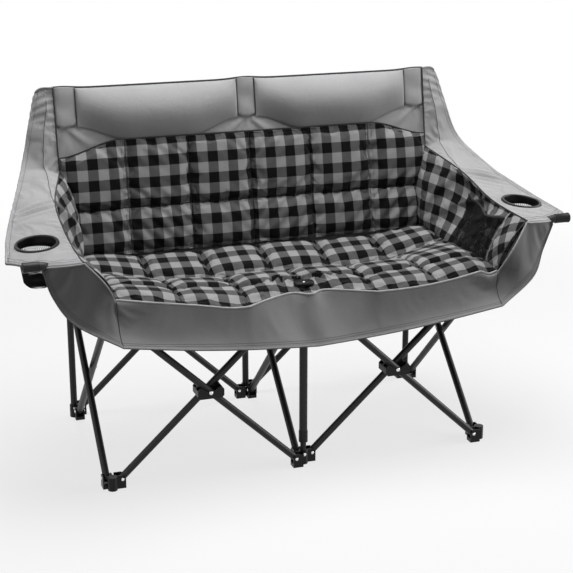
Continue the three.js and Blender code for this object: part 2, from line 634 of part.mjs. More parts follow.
function armPath() {
  const pivot = new THREE.Vector3(BAY + ARM_PIVOT_OUT, ARM_Y, ARM_PIVOT_Z);
  const end = new THREE.Vector3(...ARM_END);
  const start = pivot.clone().addScaledVector(ARM_WAY, -TUBE_END);
  const bend = pivot.clone().addScaledVector(ARM_WAY, ARM_STRAIGHT);
  const last = end.clone().sub(new THREE.Vector3(ARM_CAP_GRIP, 0, 0));
  const path = new THREE.CurvePath();
  path.add(new THREE.LineCurve3(start, bend));
  const lead = bend.clone().addScaledVector(ARM_WAY, ARM_STRAIGHT);
  const turn = last.clone().sub(new THREE.Vector3(ARM_STRAIGHT / 2, 0, 0));
  path.add(new THREE.CubicBezierCurve3(bend, lead, turn, last));
  path.add(new THREE.LineCurve3(last, end));
  return path;
}

function ringShape(radius, sides) {
  const shape = new THREE.Shape();
  for (let i = 0; i < sides; i += 1) {
    const turn = (i + 0.5) * 2 * Math.PI / sides;
    const point = [radius * Math.cos(turn), radius * Math.sin(turn)];
    if (i) shape.lineTo(...point);
    else shape.moveTo(...point);
  }
  return shape;
}

function armTube() {
  const extrude = (radius) => solid(new THREE.ExtrudeGeometry(ringShape(radius, TUBE_SIDES),
    { steps: ARM_STEPS, extrudePath: armPath(), bevelEnabled: false }));
  const pivot = new THREE.Vector3(BAY + ARM_PIVOT_OUT, ARM_Y, ARM_PIVOT_Z);
  const reach = new THREE.Vector3(0, ARM_TUBE_R + OVERCUT, 0);
  return extrude(ARM_TUBE_R).subtract(pinHole(pivot.clone().sub(reach), pivot.clone().add(reach)));
}

function armCap() {
  const [x, y, z] = ARM_END;
  const gripStart = x - ARM_CAP_GRIP + ARM_CAP_SHOW;
  const bore = bar(new THREE.Vector3(gripStart - OVERCUT, y, z), new THREE.Vector3(x + FIT, y, z),
    ARM_TUBE_R + FIT, ROUND_SIDES, new THREE.Vector3(0, 0, 1));
  const body = bar(new THREE.Vector3(gripStart, y, z), new THREE.Vector3(x + ARM_CAP_LENGTH, y, z), ARM_CAP_R,
    ROUND_SIDES, new THREE.Vector3(0, 0, 1));
  return solid(body).subtract(solid(bore));
}

function cupRing() {
  const [x, y] = CUP_CENTRE;
  const sleeve = CUP_RING_R - CUP_RING_LIP;
  const rimFoot = CUP_RING_TOP - CUP_RIM;
  return revolved(x, y, [[CUP_BORE_R, CUP_RING_FOOT], [sleeve, CUP_RING_FOOT], [sleeve, rimFoot],
    [CUP_RING_R, rimFoot + CUP_RIM_EDGE], [CUP_RING_R - CUP_RIM_EDGE, CUP_RING_TOP],
    [CUP_BORE_R + CUP_RIM_EDGE, CUP_RING_TOP], [CUP_BORE_R, CUP_RING_TOP - CUP_RIM_EDGE],
    [CUP_BORE_R, CUP_RING_FOOT]], CUP_SIDES);
}

function cupPocket() {
  const [x, y] = CUP_CENTRE;
  const top = CUP_RING_FOOT - FIT;
  const bottom = top - CUP_DEPTH;
  const wide = CUP_RING_R - CUP_RING_LIP;
  const narrow = wide - CUP_TAPER;
  const flat = narrow - CUP_ROUND;
  return revolved(x, y, [[0, bottom], [flat, bottom], [narrow, bottom + CUP_ROUND], [wide, top],
    [wide - CUP_CLOTH, top], [narrow - CUP_CLOTH, bottom + CUP_ROUND + CUP_CLOTH / 2],
    [flat, bottom + CUP_CLOTH], [0, bottom + CUP_CLOTH]], CUP_SIDES);
}

function makeArms() {
  const right = { arm_tube: armTube(), arm_cap: armCap(), cup_ring: cupRing(), cup_pocket: cupPocket() };
  const finishes = { arm_tube: 'tube', arm_cap: 'plastic', cup_ring: 'plastic', cup_pocket: 'mesh' };
  for (const [name, shape] of Object.entries(right)) {
    const geometry = shape.isBufferGeometry ? shape : geometryOf(shape);
    addPart(`${name}_right`, geometry, finishes[name]);
    addPart(`${name}_left`, mirrored(geometry), finishes[name]);
  }
}

// Fabric: seat and back are quilted in columns, each with two rows

const QUILT_STOPS = stops(18);

function channel(t) {
  return Math.sqrt(Math.abs(Math.sin(Math.PI * t)));
}

function rowPuff(t, from, to) {
  return channel(THREE.MathUtils.clamp((t - from) / (to - from), 0, 1));
}

function seatSeam(x, y) {
  const side = (Math.abs(x) / SEAT_HALF) ** SEAT_LIFT_POWER;
  const front = THREE.MathUtils.clamp(y / SEAT_FRONT, 0, 1);
  const sag = SEAT_SAG * Math.sin(Math.PI * x / BAY) ** 2;
  const end = y < SEAT_ROW_SEAM ? SEAT_DIP_FROM : SEAT_BACK_EDGE;
  const dip = SEAT_DIP * THREE.MathUtils.clamp((end - y) / (end - SEAT_ROW_SEAM), 0, 1) * (1 - side);
  return SEAT_SEAM - sag - dip + side * (SEAT_SIDE_LIFT + SEAT_CORNER_LIFT * front);
}

function seatUnder(x, y) {
  return seatSeam(x, y) - SEAT_PAD;
}

function seatFrontEdge(x) {
  const draw = Math.min(Math.abs(x) / SEAT_NOTCH_RUN, 1);
  const tongue = SEAT_TONGUE * Math.exp(-((x / SEAT_TONGUE_RUN) ** 2));
  return SEAT_FRONT + SEAT_NOTCH * (1 - draw) - tongue;
}

// The front edge as the seat's stops draw it, in straight lengths.
function seatEdgeLine(x) {
  const lengths = QUILT_STOPS.length - 1;
  const place = lengths * (x / SEAT_HALF + 1) / 2;
  const stop = Math.min(Math.floor(place), lengths - 1);
  const [from, to] = [stop, stop + 1].map((k) => seatFrontEdge(across(QUILT_STOPS[k], SEAT_HALF)));
  return THREE.MathUtils.lerp(from, to, place - stop);
}

function seatFace(x, y) {
  const front = y < SEAT_ROW_SEAM;
  const row = front ? rowPuff(y, seatFrontEdge(x), SEAT_ROW_SEAM) : rowPuff(y, SEAT_ROW_SEAM, SEAT_BACK_EDGE);
  return seatSeam(x, y) + SEAT_PUFF * row * channel(x / QUILT_COLUMN);
}

function across(u, half) {
  return THREE.MathUtils.lerp(-half, half, u);
}

function seatPad(depthAt, rows, topAt, underAt) {
  const face = (u, v) => {
    const x = across(u, SEAT_HALF);
    const y = depthAt(x, v);
    return new THREE.Vector3(x, y, topAt(x, y));
  };
  const drop = (u, v) => {
    const x = across(u, SEAT_HALF);
    const y = depthAt(x, v);
    return new THREE.Vector3(0, 0, underAt(x, y) - topAt(x, y));
  };
  return solid(padded(face, drop, QUILT_STOPS, rows));
}

function seatFront() {
  const depthAt = (x, v) => (v < 1 ? THREE.MathUtils.lerp(-FIT / 2, SEAT_DIP_FROM, v)
    : THREE.MathUtils.lerp(SEAT_DIP_FROM, seatFrontEdge(x), v - 1));
  const pad = seatPad(depthAt, [...stops(5), ...stops(2, 1.4, 2)], seatFace, seatUnder);
  return pad.subtract(hole(0, FRONT_Y, HUB_FACE - SEAT_PAD, HUB_FACE + 3 * SEAT_PAD, KNOB_R + KNOB_PLAY,
    ROUND_SIDES));
}

function seatRear() {
  const stepShare = SEAT_FLAP_STEP / (SEAT_FLAP_END - SEAT_BACK_EDGE);
  const depthAt = (x, v) => (v <= 1 ? THREE.MathUtils.lerp(FIT / 2, SEAT_BACK_EDGE, v)
    : THREE.MathUtils.lerp(SEAT_BACK_EDGE, SEAT_FLAP_END, v - 1));
  const topAt = (x, y) => (y > SEAT_BACK_EDGE ? SEAT_FLAP_TOP : seatFace(x, y));
  const underAt = (x, y) => (y > SEAT_BACK_EDGE ? SEAT_FLAP_TOP - SEAT_FLAP : seatUnder(x, y));
  return seatPad(depthAt, [...stops(4), 1 + stepShare, 2], topAt, underAt);
}

function panelFront(z) {
  return PANEL_TOP_Y - (PANEL_TOP - z) * PANEL_LEAN;
}

function backTop(x) {
  const fall = smooth((Math.abs(x) - BACK_TOP_FLAT) / (SEAT_HALF - BACK_TOP_FLAT));
  return BACK_TOP - BACK_TOP_DROP * fall;
}

function backPad() {
  const heightAt = (x, v) => (v < 1 ? THREE.MathUtils.lerp(BACK_BOTTOM, BACK_ROW_SEAM, v)
    : THREE.MathUtils.lerp(BACK_ROW_SEAM, backTop(x), v - 1));
  const depthAt = (x, z, v) => {
    const row = channel(v % 1);
    return panelFront(z) - FIT - BACK_PAD - BACK_PUFF * row * channel(x / QUILT_COLUMN);
  };
  const face = (u, v) => {
    const x = across(u, SEAT_HALF);
    const z = heightAt(x, v);
    return new THREE.Vector3(x, depthAt(x, z, v), z);
  };
  const behind = (u, v) => {
    const x = across(u, SEAT_HALF);
    const z = heightAt(x, v);
    return new THREE.Vector3(0, panelFront(z) - FIT - depthAt(x, z, v), 0);
  };
  return padded(face, behind, QUILT_STOPS, [...stops(3), ...stops(4, 1.2, 2)]);
}

// The back panel hangs on the three posts by a closed pocket over each post's top.
function backPanel() {
  const heightAt = (v) => THREE.MathUtils.lerp(PANEL_BOTTOM, PANEL_TOP, v);
  const face = (u, v) => new THREE.Vector3(across(u, PANEL_HALF), panelFront(heightAt(v)), heightAt(v));
  let panel = solid(padded(face, () => new THREE.Vector3(0, PANEL_CLOTH, 0), stops(2), stops(1)));
  const top = BACK_HEIGHT + FIT + POCKET_CAP;
  const low = BACK_HEIGHT - POCKET_DEPTH;
  const sideView = new THREE.Shape();
  sideView.moveTo(panelFront(low) + PANEL_CLOTH / 2, low);
  sideView.lineTo(REAR_Y, low);
  sideView.lineTo(REAR_Y, top);
  sideView.lineTo(panelFront(PANEL_TOP) + PANEL_CLOTH / 2, top);
  COLUMNS.forEach(([, x]) => {
    const web = new THREE.ExtrudeGeometry(sideView, { depth: 2 * POCKET_R, bevelEnabled: false });
    const yzToFrame = new THREE.Matrix4().makeBasis(ALONG_Y, new THREE.Vector3(0, 0, 1), ALONG_X);
    web.applyMatrix4(yzToFrame).translate(x - POCKET_R, 0, 0);
    panel = panel.add(solid(web)).add(solid(upright(x, REAR_Y, low, top, POCKET_R, ROUND_SIDES)));
    panel = panel.subtract(hole(x, REAR_Y, low - OVERCUT, BACK_HEIGHT + FIT, TUBE_R + FIT, ROUND_SIDES));
  });
  return panel;
}

function pillow() {
  const left = PILLOW_GAP;
  const right = BAY - PILLOW_GAP;
  const lower = (x) => {
    const fromEnd = Math.min(x - left, right - x);
    return PILLOW_BOTTOM + PILLOW_CORNER * (1 - smooth(fromEnd / PILLOW_CORNER_RUN));
  };
  const place = (u, v) => {
    const x = THREE.MathUtils.lerp(left, right, u);
    const z = THREE.MathUtils.lerp(lower(x), PANEL_TOP - FIT, v);
    return [x, panelFront(z) - FIT, z];
  };
  const crown = (u, v) => Math.sin(Math.PI * u) ** 0.4 * Math.sin(Math.PI * v) ** 0.7;
  const swell = (u, v) => PILLOW_BASE + PILLOW_CROWN * crown(u, v);
  const face = (u, v) => {
    const [x, y, z] = place(u, v);
    return new THREE.Vector3(x, y - swell(u, v), z);
  };
  return padded(face, (u, v) => new THREE.Vector3(0, swell(u, v), 0), stops(12), stops(6));
}

// Side bolster: the quilted inside of an arm, from the seat's side edge up to the arm's inner edge

const PIPING = curve([[PANEL_HALF - BOLSTER_LIP, panelFront(BOLSTER_TOP) - CLOTH, BOLSTER_TOP],
  ...ARM_INNER_EDGE.map(fromHub)]);

function bolsterFoot(v) {
  const y = THREE.MathUtils.lerp(panelFront(BACK_BOTTOM) - CLOTH, SEAT_FRONT, v);
  return new THREE.Vector3(SEAT_HALF + BOLSTER_LIP, y, seatSeam(SEAT_HALF, y));
}

function bolster() {
  const face = (u, v) => {
    const point = bolsterFoot(v).lerp(PIPING.getPoint(v), u);
    point.x -= BOLSTER_BULGE * Math.sin(Math.PI * u) * Math.sin(Math.PI * v) ** 0.5;
    return point;
  };
  const outward = (u) => new THREE.Vector3(THREE.MathUtils.lerp(BOLSTER_PAD, BOLSTER_LIP, u), 0, 0);
  return padded(face, outward, stops(5), stops(12));
}

function shellEdge(t) {
  return PIPING.getPoint(t).add(new THREE.Vector3(BOLSTER_LIP + FIT, 0, CLOTH / 2));
}

// Wing: the flat side of the back, from the outer post forward to the arm
const WING_OUTER = curve([...WING_OUTER_EDGE.map(fromPost), fromHub(ARM_OUTER_EDGE[0])]);

function wingInner(v) {
  if (v > WING_SIDE) return shellEdge(WING_END * (v - WING_SIDE) / (1 - WING_SIDE));
  const foot = shellEdge(0);
  const z = THREE.MathUtils.lerp(PANEL_TOP, foot.z, v / WING_SIDE);
  return new THREE.Vector3(foot.x, panelFront(z) - CLOTH, z);
}

function wing() {
  const face = (u, v) => wingInner(v).lerp(WING_OUTER.getPoint(v), u);
  return padded(face, () => new THREE.Vector3(0, CLOTH * 0.7, -CLOTH * 0.7), stops(2), stops(12));
}

// Arm: a flat pad from the bolster's upper edge to the outer edge, with the cup holder's hole
const ARM_OUTER = curve(ARM_OUTER_EDGE.map(fromHub));

function armPoint(u, v) {
  const point = shellEdge(THREE.MathUtils.lerp(WING_END, 1, v)).lerp(ARM_OUTER.getPoint(v), u);
  point.y -= ARM_FRONT_BOW * Math.sin(Math.PI * u) * v ** 4;
  if (v === 0) point.y -= 2 * FIT;
  return point;
}

function armPanel() {
  const pad = solid(padded(armPoint, () => new THREE.Vector3(0, 0, -ARM_PAD), stops(8), stops(8)));
  const [x, y] = CUP_CENTRE;
  const [low, high] = [CUP_RING_TOP - CUP_DEPTH, CUP_RING_TOP + CUP_DEPTH];
  return pad.subtract(hole(x, y, low, high, CUP_RING_R + FIT, CUP_SIDES));
}

// Apron: the front cloth, hung from the seat's front edge and drawn up to both arms
const HEM_SIDE = curve([HEM_KINK, ...HEM_SIDE_EDGE.map(fromHub)]);

function apronTop(v) {
  const forward = new THREE.Vector3(0, -APRON_GAP - APRON_CLOTH, 0);
  if (v <= 1) {
    const x = SEAT_HALF * v;
    return new THREE.Vector3(x, seatEdgeLine(x), seatSeam(x, SEAT_FRONT) - APRON_CLOTH).add(forward);
  }
  if (v <= 2) {
    const away = Math.sin(Math.PI * (v - 1));
    const stand = new THREE.Vector3(-APRON_BOW * away, -APRON_STAND * away, 0);
    return bolsterFoot(1).lerp(PIPING.getPoint(1), v - 1).add(forward).add(stand);
  }
  return armPoint((v - 2) * APRON_ARM_SHARE, 1).add(forward);
}

function apronHem(v) {
  if (v <= 1) {
    const hem = new THREE.Vector3(...HEM_CENTRE).lerp(new THREE.Vector3(...HEM_KINK), v);
    hem.z -= HEM_DIP * Math.sin(Math.PI * v);
    return hem;
  }
  return HEM_SIDE.getPoint((v - 1) / 2);
}

// Soft folds under the knob, and one from each seat corner down to the hem.
function apronFolds(x, u) {
  const fade = Math.exp(-((x / APRON_FOLD_RUN) ** 2));
  const waves = APRON_FOLD * Math.cos(2 * Math.PI * x / APRON_FOLD_PITCH) * fade;
  const ridgeAt = (SEAT_HALF - x) / APRON_RIDGE_RUN;
  const ridge = APRON_RIDGE * Math.exp(-(((u - ridgeAt) / APRON_RIDGE_WIDTH) ** 2));
  return Math.sin(Math.PI * u) * (waves + (x < SEAT_HALF ? ridge : 0));
}

function apron() {
  const face = (u, v) => {
    const half = Math.abs(v);
    const point = apronTop(half).lerp(apronHem(half), u);
    const bulge = APRON_BULGE * Math.sin(Math.PI * u) * Math.sin(Math.PI * Math.min(half, 2) / 2) ** 2;
    point.y -= bulge + apronFolds(point.x, u);
    return point.multiply(new THREE.Vector3(Math.sign(v) || 1, 1, 1));
  };
  const middle = stops(2 * (QUILT_STOPS.length - 1), -1, 1).slice(1, -1);
  const along = [...stops(8, -3, -1), ...middle, ...stops(8, 1, 3)];
  return padded(face, () => new THREE.Vector3(0, APRON_CLOTH, 0), stops(5), along);
}

function makeFabric() {
  addPart('seat_pad_front', seatFront(), 'plaid');
  addPart('seat_pad_rear', seatRear(), 'plaid');
  addPart('back_pad', backPad(), 'plaid');
  addPart('back_panel', backPanel(), 'shell');
  addPart('front_apron', apron(), 'apron');
  const right = { headrest: pillow(), bolster: bolster(), wing: wing(), arm_panel: geometryOf(armPanel()) };
  for (const [name, geometry] of Object.entries(right)) {
    const finish = name === 'bolster' ? 'plaid' : 'shell';
    addPart(`${name}_right`, geometry, finish);
    addPart(`${name}_left`, mirrored(geometry), finish);
  }
}

makeFeet();
makeHubs();
makeTubes();
makePosts();
makeArms();
makeFabric();

export default loveseat;
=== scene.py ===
# Folding camping loveseat: quilted check cloth, grey shell cloth and black tube frame
import json
import math

import bmesh
import bpy
import numpy as np
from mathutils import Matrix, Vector


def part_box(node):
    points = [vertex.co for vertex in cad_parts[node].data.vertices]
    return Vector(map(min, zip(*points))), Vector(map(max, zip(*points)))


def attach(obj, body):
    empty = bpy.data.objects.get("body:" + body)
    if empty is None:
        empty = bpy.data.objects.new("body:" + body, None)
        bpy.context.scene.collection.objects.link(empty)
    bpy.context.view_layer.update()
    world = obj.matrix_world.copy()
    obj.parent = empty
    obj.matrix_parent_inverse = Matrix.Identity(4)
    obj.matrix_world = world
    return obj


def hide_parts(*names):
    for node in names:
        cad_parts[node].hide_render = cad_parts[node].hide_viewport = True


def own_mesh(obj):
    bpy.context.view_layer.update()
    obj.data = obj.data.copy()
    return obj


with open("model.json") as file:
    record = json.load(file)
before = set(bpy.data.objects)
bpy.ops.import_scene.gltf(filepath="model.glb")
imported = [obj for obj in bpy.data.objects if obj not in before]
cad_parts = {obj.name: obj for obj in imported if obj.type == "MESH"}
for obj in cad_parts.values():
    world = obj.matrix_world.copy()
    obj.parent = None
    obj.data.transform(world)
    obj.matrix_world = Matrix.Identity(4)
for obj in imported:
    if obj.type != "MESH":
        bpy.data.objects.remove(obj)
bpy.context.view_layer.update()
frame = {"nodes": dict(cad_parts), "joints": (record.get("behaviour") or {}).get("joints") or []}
scene = bpy.context.scene


# Places read from the frame, in metres
def centreOf(node):
    low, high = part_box(node)
    return (low + high) / 2


postLow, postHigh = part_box("back_post_center")
jointPlace = {joint["name"]: joint["pos_m"] for joint in frame["joints"]}
foldJoint = "fold"
bay = centreOf("back_post_right").x  # between neighbouring feet
rearY = centreOf("back_post_right").y
frontY = centreOf("front_post_inner").y
midY = (frontY + rearY) / 2
postTop = postHigh.z
tubeRadius = (postHigh.x - postLow.x) / 2
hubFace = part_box("hub_front_center")[1].z
hubPivot = jointPlace["center_front_hub_pivot"][2]
footPivot = jointPlace[foldJoint][2]
pivotInset = abs(jointPlace[foldJoint][0])
columnX = {"left": -bay, "center": 0.0, "right": bay}
rowY = {"front": frontY, "rear": rearY}
sides = {"left": -1, "right": 1}


def fromHub(x, y, z):
    return np.array([bay + x, frontY + y, hubPivot + z])


def fromPost(x, y, z):
    return np.array([bay + x, rearY + y, postTop + z])


def smoothStep(t):
    t = np.clip(t, 0.0, 1.0)
    return t * t * (3 - 2 * t)


def bump(t, width):
    return np.exp(-((t / width) ** 2))


def lerp(first, second, t):
    return first + (second - first) * t


def throughPoints(points, t):
    # Catmull-Rom curve through a few points, uniform in t from 0 to 1
    points = np.asarray(points, float)
    ends = [2 * points[0] - points[1], *points, 2 * points[-1] - points[-2]]
    knots = np.asarray(ends)
    t = np.clip(np.asarray(t, float), 0, 1) * (len(points) - 1)
    i = np.minimum(t.astype(int), len(points) - 2)
    s = (t - i)[..., None]
    a, b, c, d = knots[i], knots[i + 1], knots[i + 2], knots[i + 3]
    return 0.5 * (2 * b + (c - a) * s + (2 * a - 5 * b + 4 * c - d) * s**2 + (3 * b - a - 3 * c + d) * s**3)


def alongLine(points, count):
    # the same line with evenly spaced points
    points = np.asarray(points, float)
    steps = np.linalg.norm(np.diff(points, axis=0), axis=1)
    travel = np.concatenate([[0], np.cumsum(steps)])
    wanted = np.linspace(0, travel[-1], count)
    return np.stack([np.interp(wanted, travel, points[:, k]) for k in range(3)], axis=1)


# Materials
def feed(tree, socket, value):
    # links a socket to another one, or sets its value
    if isinstance(value, bpy.types.NodeSocket):
        tree.links.new(value, socket)
    else:
        socket.default_value = value


def addNode(tree, kind, inputs=None, **settings):
    node = tree.nodes.new(kind)
    for key, value in settings.items():
        setattr(node, key, value)
    for key, value in (inputs or {}).items():
        feed(tree, node.inputs[key], value)
    return node


def startMaterial(name, finish):
    material = bpy.data.materials.new(name)
    material.use_nodes = True
    tree = material.node_tree
    tree.nodes.clear()
    shader = addNode(tree, "ShaderNodeBsdfPrincipled", finish)
    addNode(tree, "ShaderNodeOutputMaterial", {"Surface": shader.outputs["BSDF"]})
    return material, tree, shader


def mathNode(tree, operation, first, second=None):
    inputs = {0: first}
    if second is not None:
        inputs[1] = second
    return addNode(tree, "ShaderNodeMath", inputs, operation=operation).outputs[0]


def mixColour(tree, factor, first, second, blend="MIX"):
    node = addNode(tree, "ShaderNodeMix", {}, data_type="RGBA", blend_type=blend)
    for name, value in {"Factor": factor, "A": first, "B": second}.items():
        feed(tree, node.inputs[name], value)
    return node.outputs["Result"]


def grey(level):
    return (level, level, level * 1.012, 1.0)


def noiseAt(tree, place, scale, detail=3.0, rough=0.55):
    inputs = {"Vector": place, "Scale": scale, "Detail": detail, "Roughness": rough}
    return addNode(tree, "ShaderNodeTexNoise", inputs).outputs["Fac"]


def spread(tree, value, low, high):
    node = addNode(tree, "ShaderNodeMapRange", {"Value": value, "To Min": low, "To Max": high})
    return node.outputs["Result"]


def toneAround(tree, value, size):
    return spread(tree, value, 1 - size, 1 + size)


def tinted(tree, colour, *tones):
    # a colour made lighter or darker by tones around 1
    tone = tones[0]
    for other in tones[1:]:
        tone = mathNode(tree, "MULTIPLY", tone, other)
    level = addNode(tree, "ShaderNodeCombineColor", {0: tone, 1: tone, 2: tone}).outputs["Color"]
    return mixColour(tree, 1.0, colour, level, "MULTIPLY")


def bumpOf(tree, height, strength, distance, onto=None):
    inputs = {"Height": height, "Strength": strength, "Distance": distance}
    if onto is not None:
        inputs["Normal"] = onto
    return addNode(tree, "ShaderNodeBump", inputs).outputs["Normal"]


def clothPlace(tree):
    return addNode(tree, "ShaderNodeUVMap", uv_map="cloth").outputs["UV"]


def threadWave(tree, place, pitch, direction):
    # one ridge for each thread
    scale = 2 * math.pi / (20 * pitch)
    node = addNode(tree, "ShaderNodeTexWave", {"Vector": place, "Scale": scale, "Distortion": 0.6},
                   wave_type="BANDS", bands_direction=direction)
    return node.outputs["Fac"]


oxford = {
    "thread": 0.0013, "threadTone": (0.84, 1.06), "threadBump": (0.35, 0.0004), "fleck": 0.16, "fleckScale": 700.0,
    "cloud": 0.10, "cloudScale": 9.0, "creaseScale": 34.0, "creaseBump": (0.16, 0.006),
    "finish": {"Roughness": 0.86, "Sheen Weight": 0.05, "Sheen Roughness": 0.5, "Specular IOR Level": 0.25},
}


def oxfordCloth(name, level):
    material, tree, shader = startMaterial(name, oxford["finish"])
    place = clothPlace(tree)
    warp = threadWave(tree, place, oxford["thread"], "X")
    weft = threadWave(tree, place, oxford["thread"], "Y")
    weave = mathNode(tree, "MAXIMUM", warp, weft)
    fleck = toneAround(tree, noiseAt(tree, place, oxford["fleckScale"], 2.0), oxford["fleck"])
    cloud = toneAround(tree, noiseAt(tree, place, oxford["cloudScale"], 4.0), oxford["cloud"])
    shade = tinted(tree, grey(level), fleck, cloud, spread(tree, weave, *oxford["threadTone"]))
    feed(tree, shader.inputs["Base Color"], shade)
    creases = bumpOf(tree, noiseAt(tree, place, oxford["creaseScale"], 4.0, 0.6), *oxford["creaseBump"])
    feed(tree, shader.inputs["Normal"], bumpOf(tree, weave, *oxford["threadBump"], creases))
    return material


check = {
    "square": 0.0285, "edge": 0.035, "dark": 0.0060, "middle": 0.105, "light": 0.36, "twill": 0.0021, "rib": 0.10,
    "ribBump": (0.4, 0.0005), "wander": 0.0014, "wanderScale": 60.0, "lint": 0.26, "lintScale": 420.0, "cloud": 0.12,
    "cloudScale": 16.0, "napScale": 90.0, "napBump": (0.22, 0.004),
    "finish": {"Roughness": 0.93, "Sheen Weight": 0.05, "Sheen Roughness": 0.45, "Specular IOR Level": 0.08},
}


def checkStripe(tree, place):
    # alternates between 0 and 1 every square
    wave = mathNode(tree, "PINGPONG", mathNode(tree, "DIVIDE", place, check["square"]), 1.0)
    inputs = {"Value": wave, "From Min": 0.5 - check["edge"], "From Max": 0.5 + check["edge"]}
    return addNode(tree, "ShaderNodeMapRange", inputs, interpolation_type="SMOOTHSTEP").outputs["Result"]


def checkCloth(name):
    material, tree, shader = startMaterial(name, check["finish"])
    place = clothPlace(tree)
    wander = addNode(tree, "ShaderNodeTexNoise", {"Vector": place, "Scale": check["wanderScale"], "Detail": 2.0})
    drift = addNode(tree, "ShaderNodeVectorMath", {0: wander.outputs["Color"], "Scale": check["wander"]},
                    operation="SCALE").outputs[0]
    moved = addNode(tree, "ShaderNodeVectorMath", {0: place, 1: drift}, operation="ADD").outputs[0]
    parts = addNode(tree, "ShaderNodeSeparateXYZ", {"Vector": moved})
    warp = checkStripe(tree, parts.outputs["X"])
    weft = checkStripe(tree, parts.outputs["Y"])
    # a twill rib chooses which of the two thread colours lies on top
    diagonal = addNode(tree, "ShaderNodeMapping", {"Vector": place, "Rotation": (0, 0, math.radians(45))})
    rib = threadWave(tree, diagonal.outputs["Vector"], check["twill"], "X")
    ribs = spread(tree, rib, -check["rib"], check["rib"])
    both = mathNode(tree, "MULTIPLY", mathNode(tree, "ADD", warp, weft), 0.5)
    crossing = mathNode(tree, "ABSOLUTE", mathNode(tree, "SUBTRACT", warp, weft))
    shown = mathNode(tree, "ADD", both, mathNode(tree, "MULTIPLY", ribs, crossing))
    ramp = addNode(tree, "ShaderNodeValToRGB", {"Fac": shown})
    stops = ramp.color_ramp.elements
    stops[0].color = grey(check["dark"])
    stops[1].color = grey(check["light"])
    stops.new(0.5).color = grey(check["middle"])
    lint = toneAround(tree, noiseAt(tree, place, check["lintScale"], 4.0, 0.7), check["lint"])
    cloud = toneAround(tree, noiseAt(tree, place, check["cloudScale"]), check["cloud"])
    feed(tree, shader.inputs["Base Color"], tinted(tree, ramp.outputs["Color"], lint, cloud))
    nap = bumpOf(tree, noiseAt(tree, place, check["napScale"], 5.0, 0.65), *check["napBump"])
    feed(tree, shader.inputs["Normal"], bumpOf(tree, rib, *check["ribBump"], nap))
    return material


coat = {"cloud": 0.18, "cloudScale": 22.0, "wear": 0.07, "wearScale": 60.0, "grainBump": 0.25}


def hardCoat(name, level, roughness, grain, depth, gloss=0.5, metal=0.0):
    # powder coat, moulded plastic and plated steel differ in grain and gloss
    material, tree, shader = startMaterial(name, {"Metallic": metal, "Specular IOR Level": gloss})
    place = addNode(tree, "ShaderNodeTexCoord").outputs["Object"]
    cloud = toneAround(tree, noiseAt(tree, place, coat["cloudScale"], 4.0), coat["cloud"])
    feed(tree, shader.inputs["Base Color"], tinted(tree, grey(level), cloud))
    feed(tree, shader.inputs["Normal"], bumpOf(tree, noiseAt(tree, place, grain), coat["grainBump"], depth))
    wear = noiseAt(tree, place, coat["wearScale"], 4.0)
    feed(tree, shader.inputs["Roughness"], spread(tree, wear, roughness - coat["wear"], roughness + coat["wear"]))
    return material


shellGrey = oxfordCloth("shellGrey", 0.41)
# the apron is the shell's own cloth painted darker: painted shade for its upright face, which gets less of the
# overhead light
apronGrey = oxfordCloth("apronGrey", 0.26)
liningBlack = oxfordCloth("liningBlack", 0.035)
tapePale = oxfordCloth("tapePale", 0.50)
tapeDark = oxfordCloth("tapeDark", 0.055)
checkPlaid = checkCloth("checkPlaid")
coatBlack = hardCoat("coatBlack", level=0.0125, roughness=0.40, grain=900.0, depth=0.0003, gloss=0.32)
plasticBlack = hardCoat("plasticBlack", level=0.0075, roughness=0.34, grain=1400.0, depth=0.0002, gloss=0.24)
rivetSteel = hardCoat("rivetSteel", level=0.72, roughness=0.24, grain=500.0, depth=0.0001, metal=1.0)
threadGrey = hardCoat("threadGrey", level=0.20, roughness=0.8, grain=1500.0, depth=0.0003)
threadDark = hardCoat("threadDark", level=0.045, roughness=0.8, grain=1500.0, depth=0.0003)
netBlack = hardCoat("netBlack", level=0.008, roughness=0.7, grain=1500.0, depth=0.0003, gloss=0.12)
print("materials ready")


def addObject(name, data):
    piece = bpy.data.objects.new(name, data)
    scene.collection.objects.link(piece)
    return piece


def plainCopy(source, name):
    # the evaluated form of a source object, kept as a plain mesh
    bpy.context.view_layer.update()
    depsgraph = bpy.context.evaluated_depsgraph_get()
    mesh = bpy.data.meshes.new_from_object(source.evaluated_get(depsgraph), depsgraph=depsgraph)
    bpy.data.objects.remove(source)
    mesh.name = name
    return addObject(name, mesh)


# Cloth grids: rows of points, with columns along the first direction and rows along the second
def gridQuads(index):
    return np.stack([index[:-1, :-1], index[:-1, 1:], index[1:, 1:], index[1:, :-1]], axis=-1)


def doubled(grid):
    for axis in (0, 1):
        grid = np.moveaxis(grid, axis, 0)
        wide = np.concatenate([2 * grid[:1] - grid[1:2], grid, 2 * grid[-1:] - grid[-2:-1]])
        between = (9 * (wide[1:-2] + wide[2:-1]) - wide[:-3] - wide[3:]) / 16
        finer = np.empty((2 * len(grid) - 1, *grid.shape[1:]))
        finer[0::2] = grid
        finer[1::2] = between
        grid = np.moveaxis(finer, 0, axis)
    return grid


def gridNormals(grid):
    normal = np.cross(np.gradient(grid, axis=1), np.gradient(grid, axis=0))
    return normal / np.maximum(np.linalg.norm(normal, axis=2, keepdims=True), 1e-12)


def facing(grid, uv, direction):
    # turns the grid so that its faces look along the direction
    if (gridNormals(grid) @ np.asarray(direction, float)).mean() < 0:
        return grid[:, ::-1], uv[:, ::-1]
    return grid, uv


def mirrored(grid):
    return grid * np.array([-1.0, 1.0, 1.0])


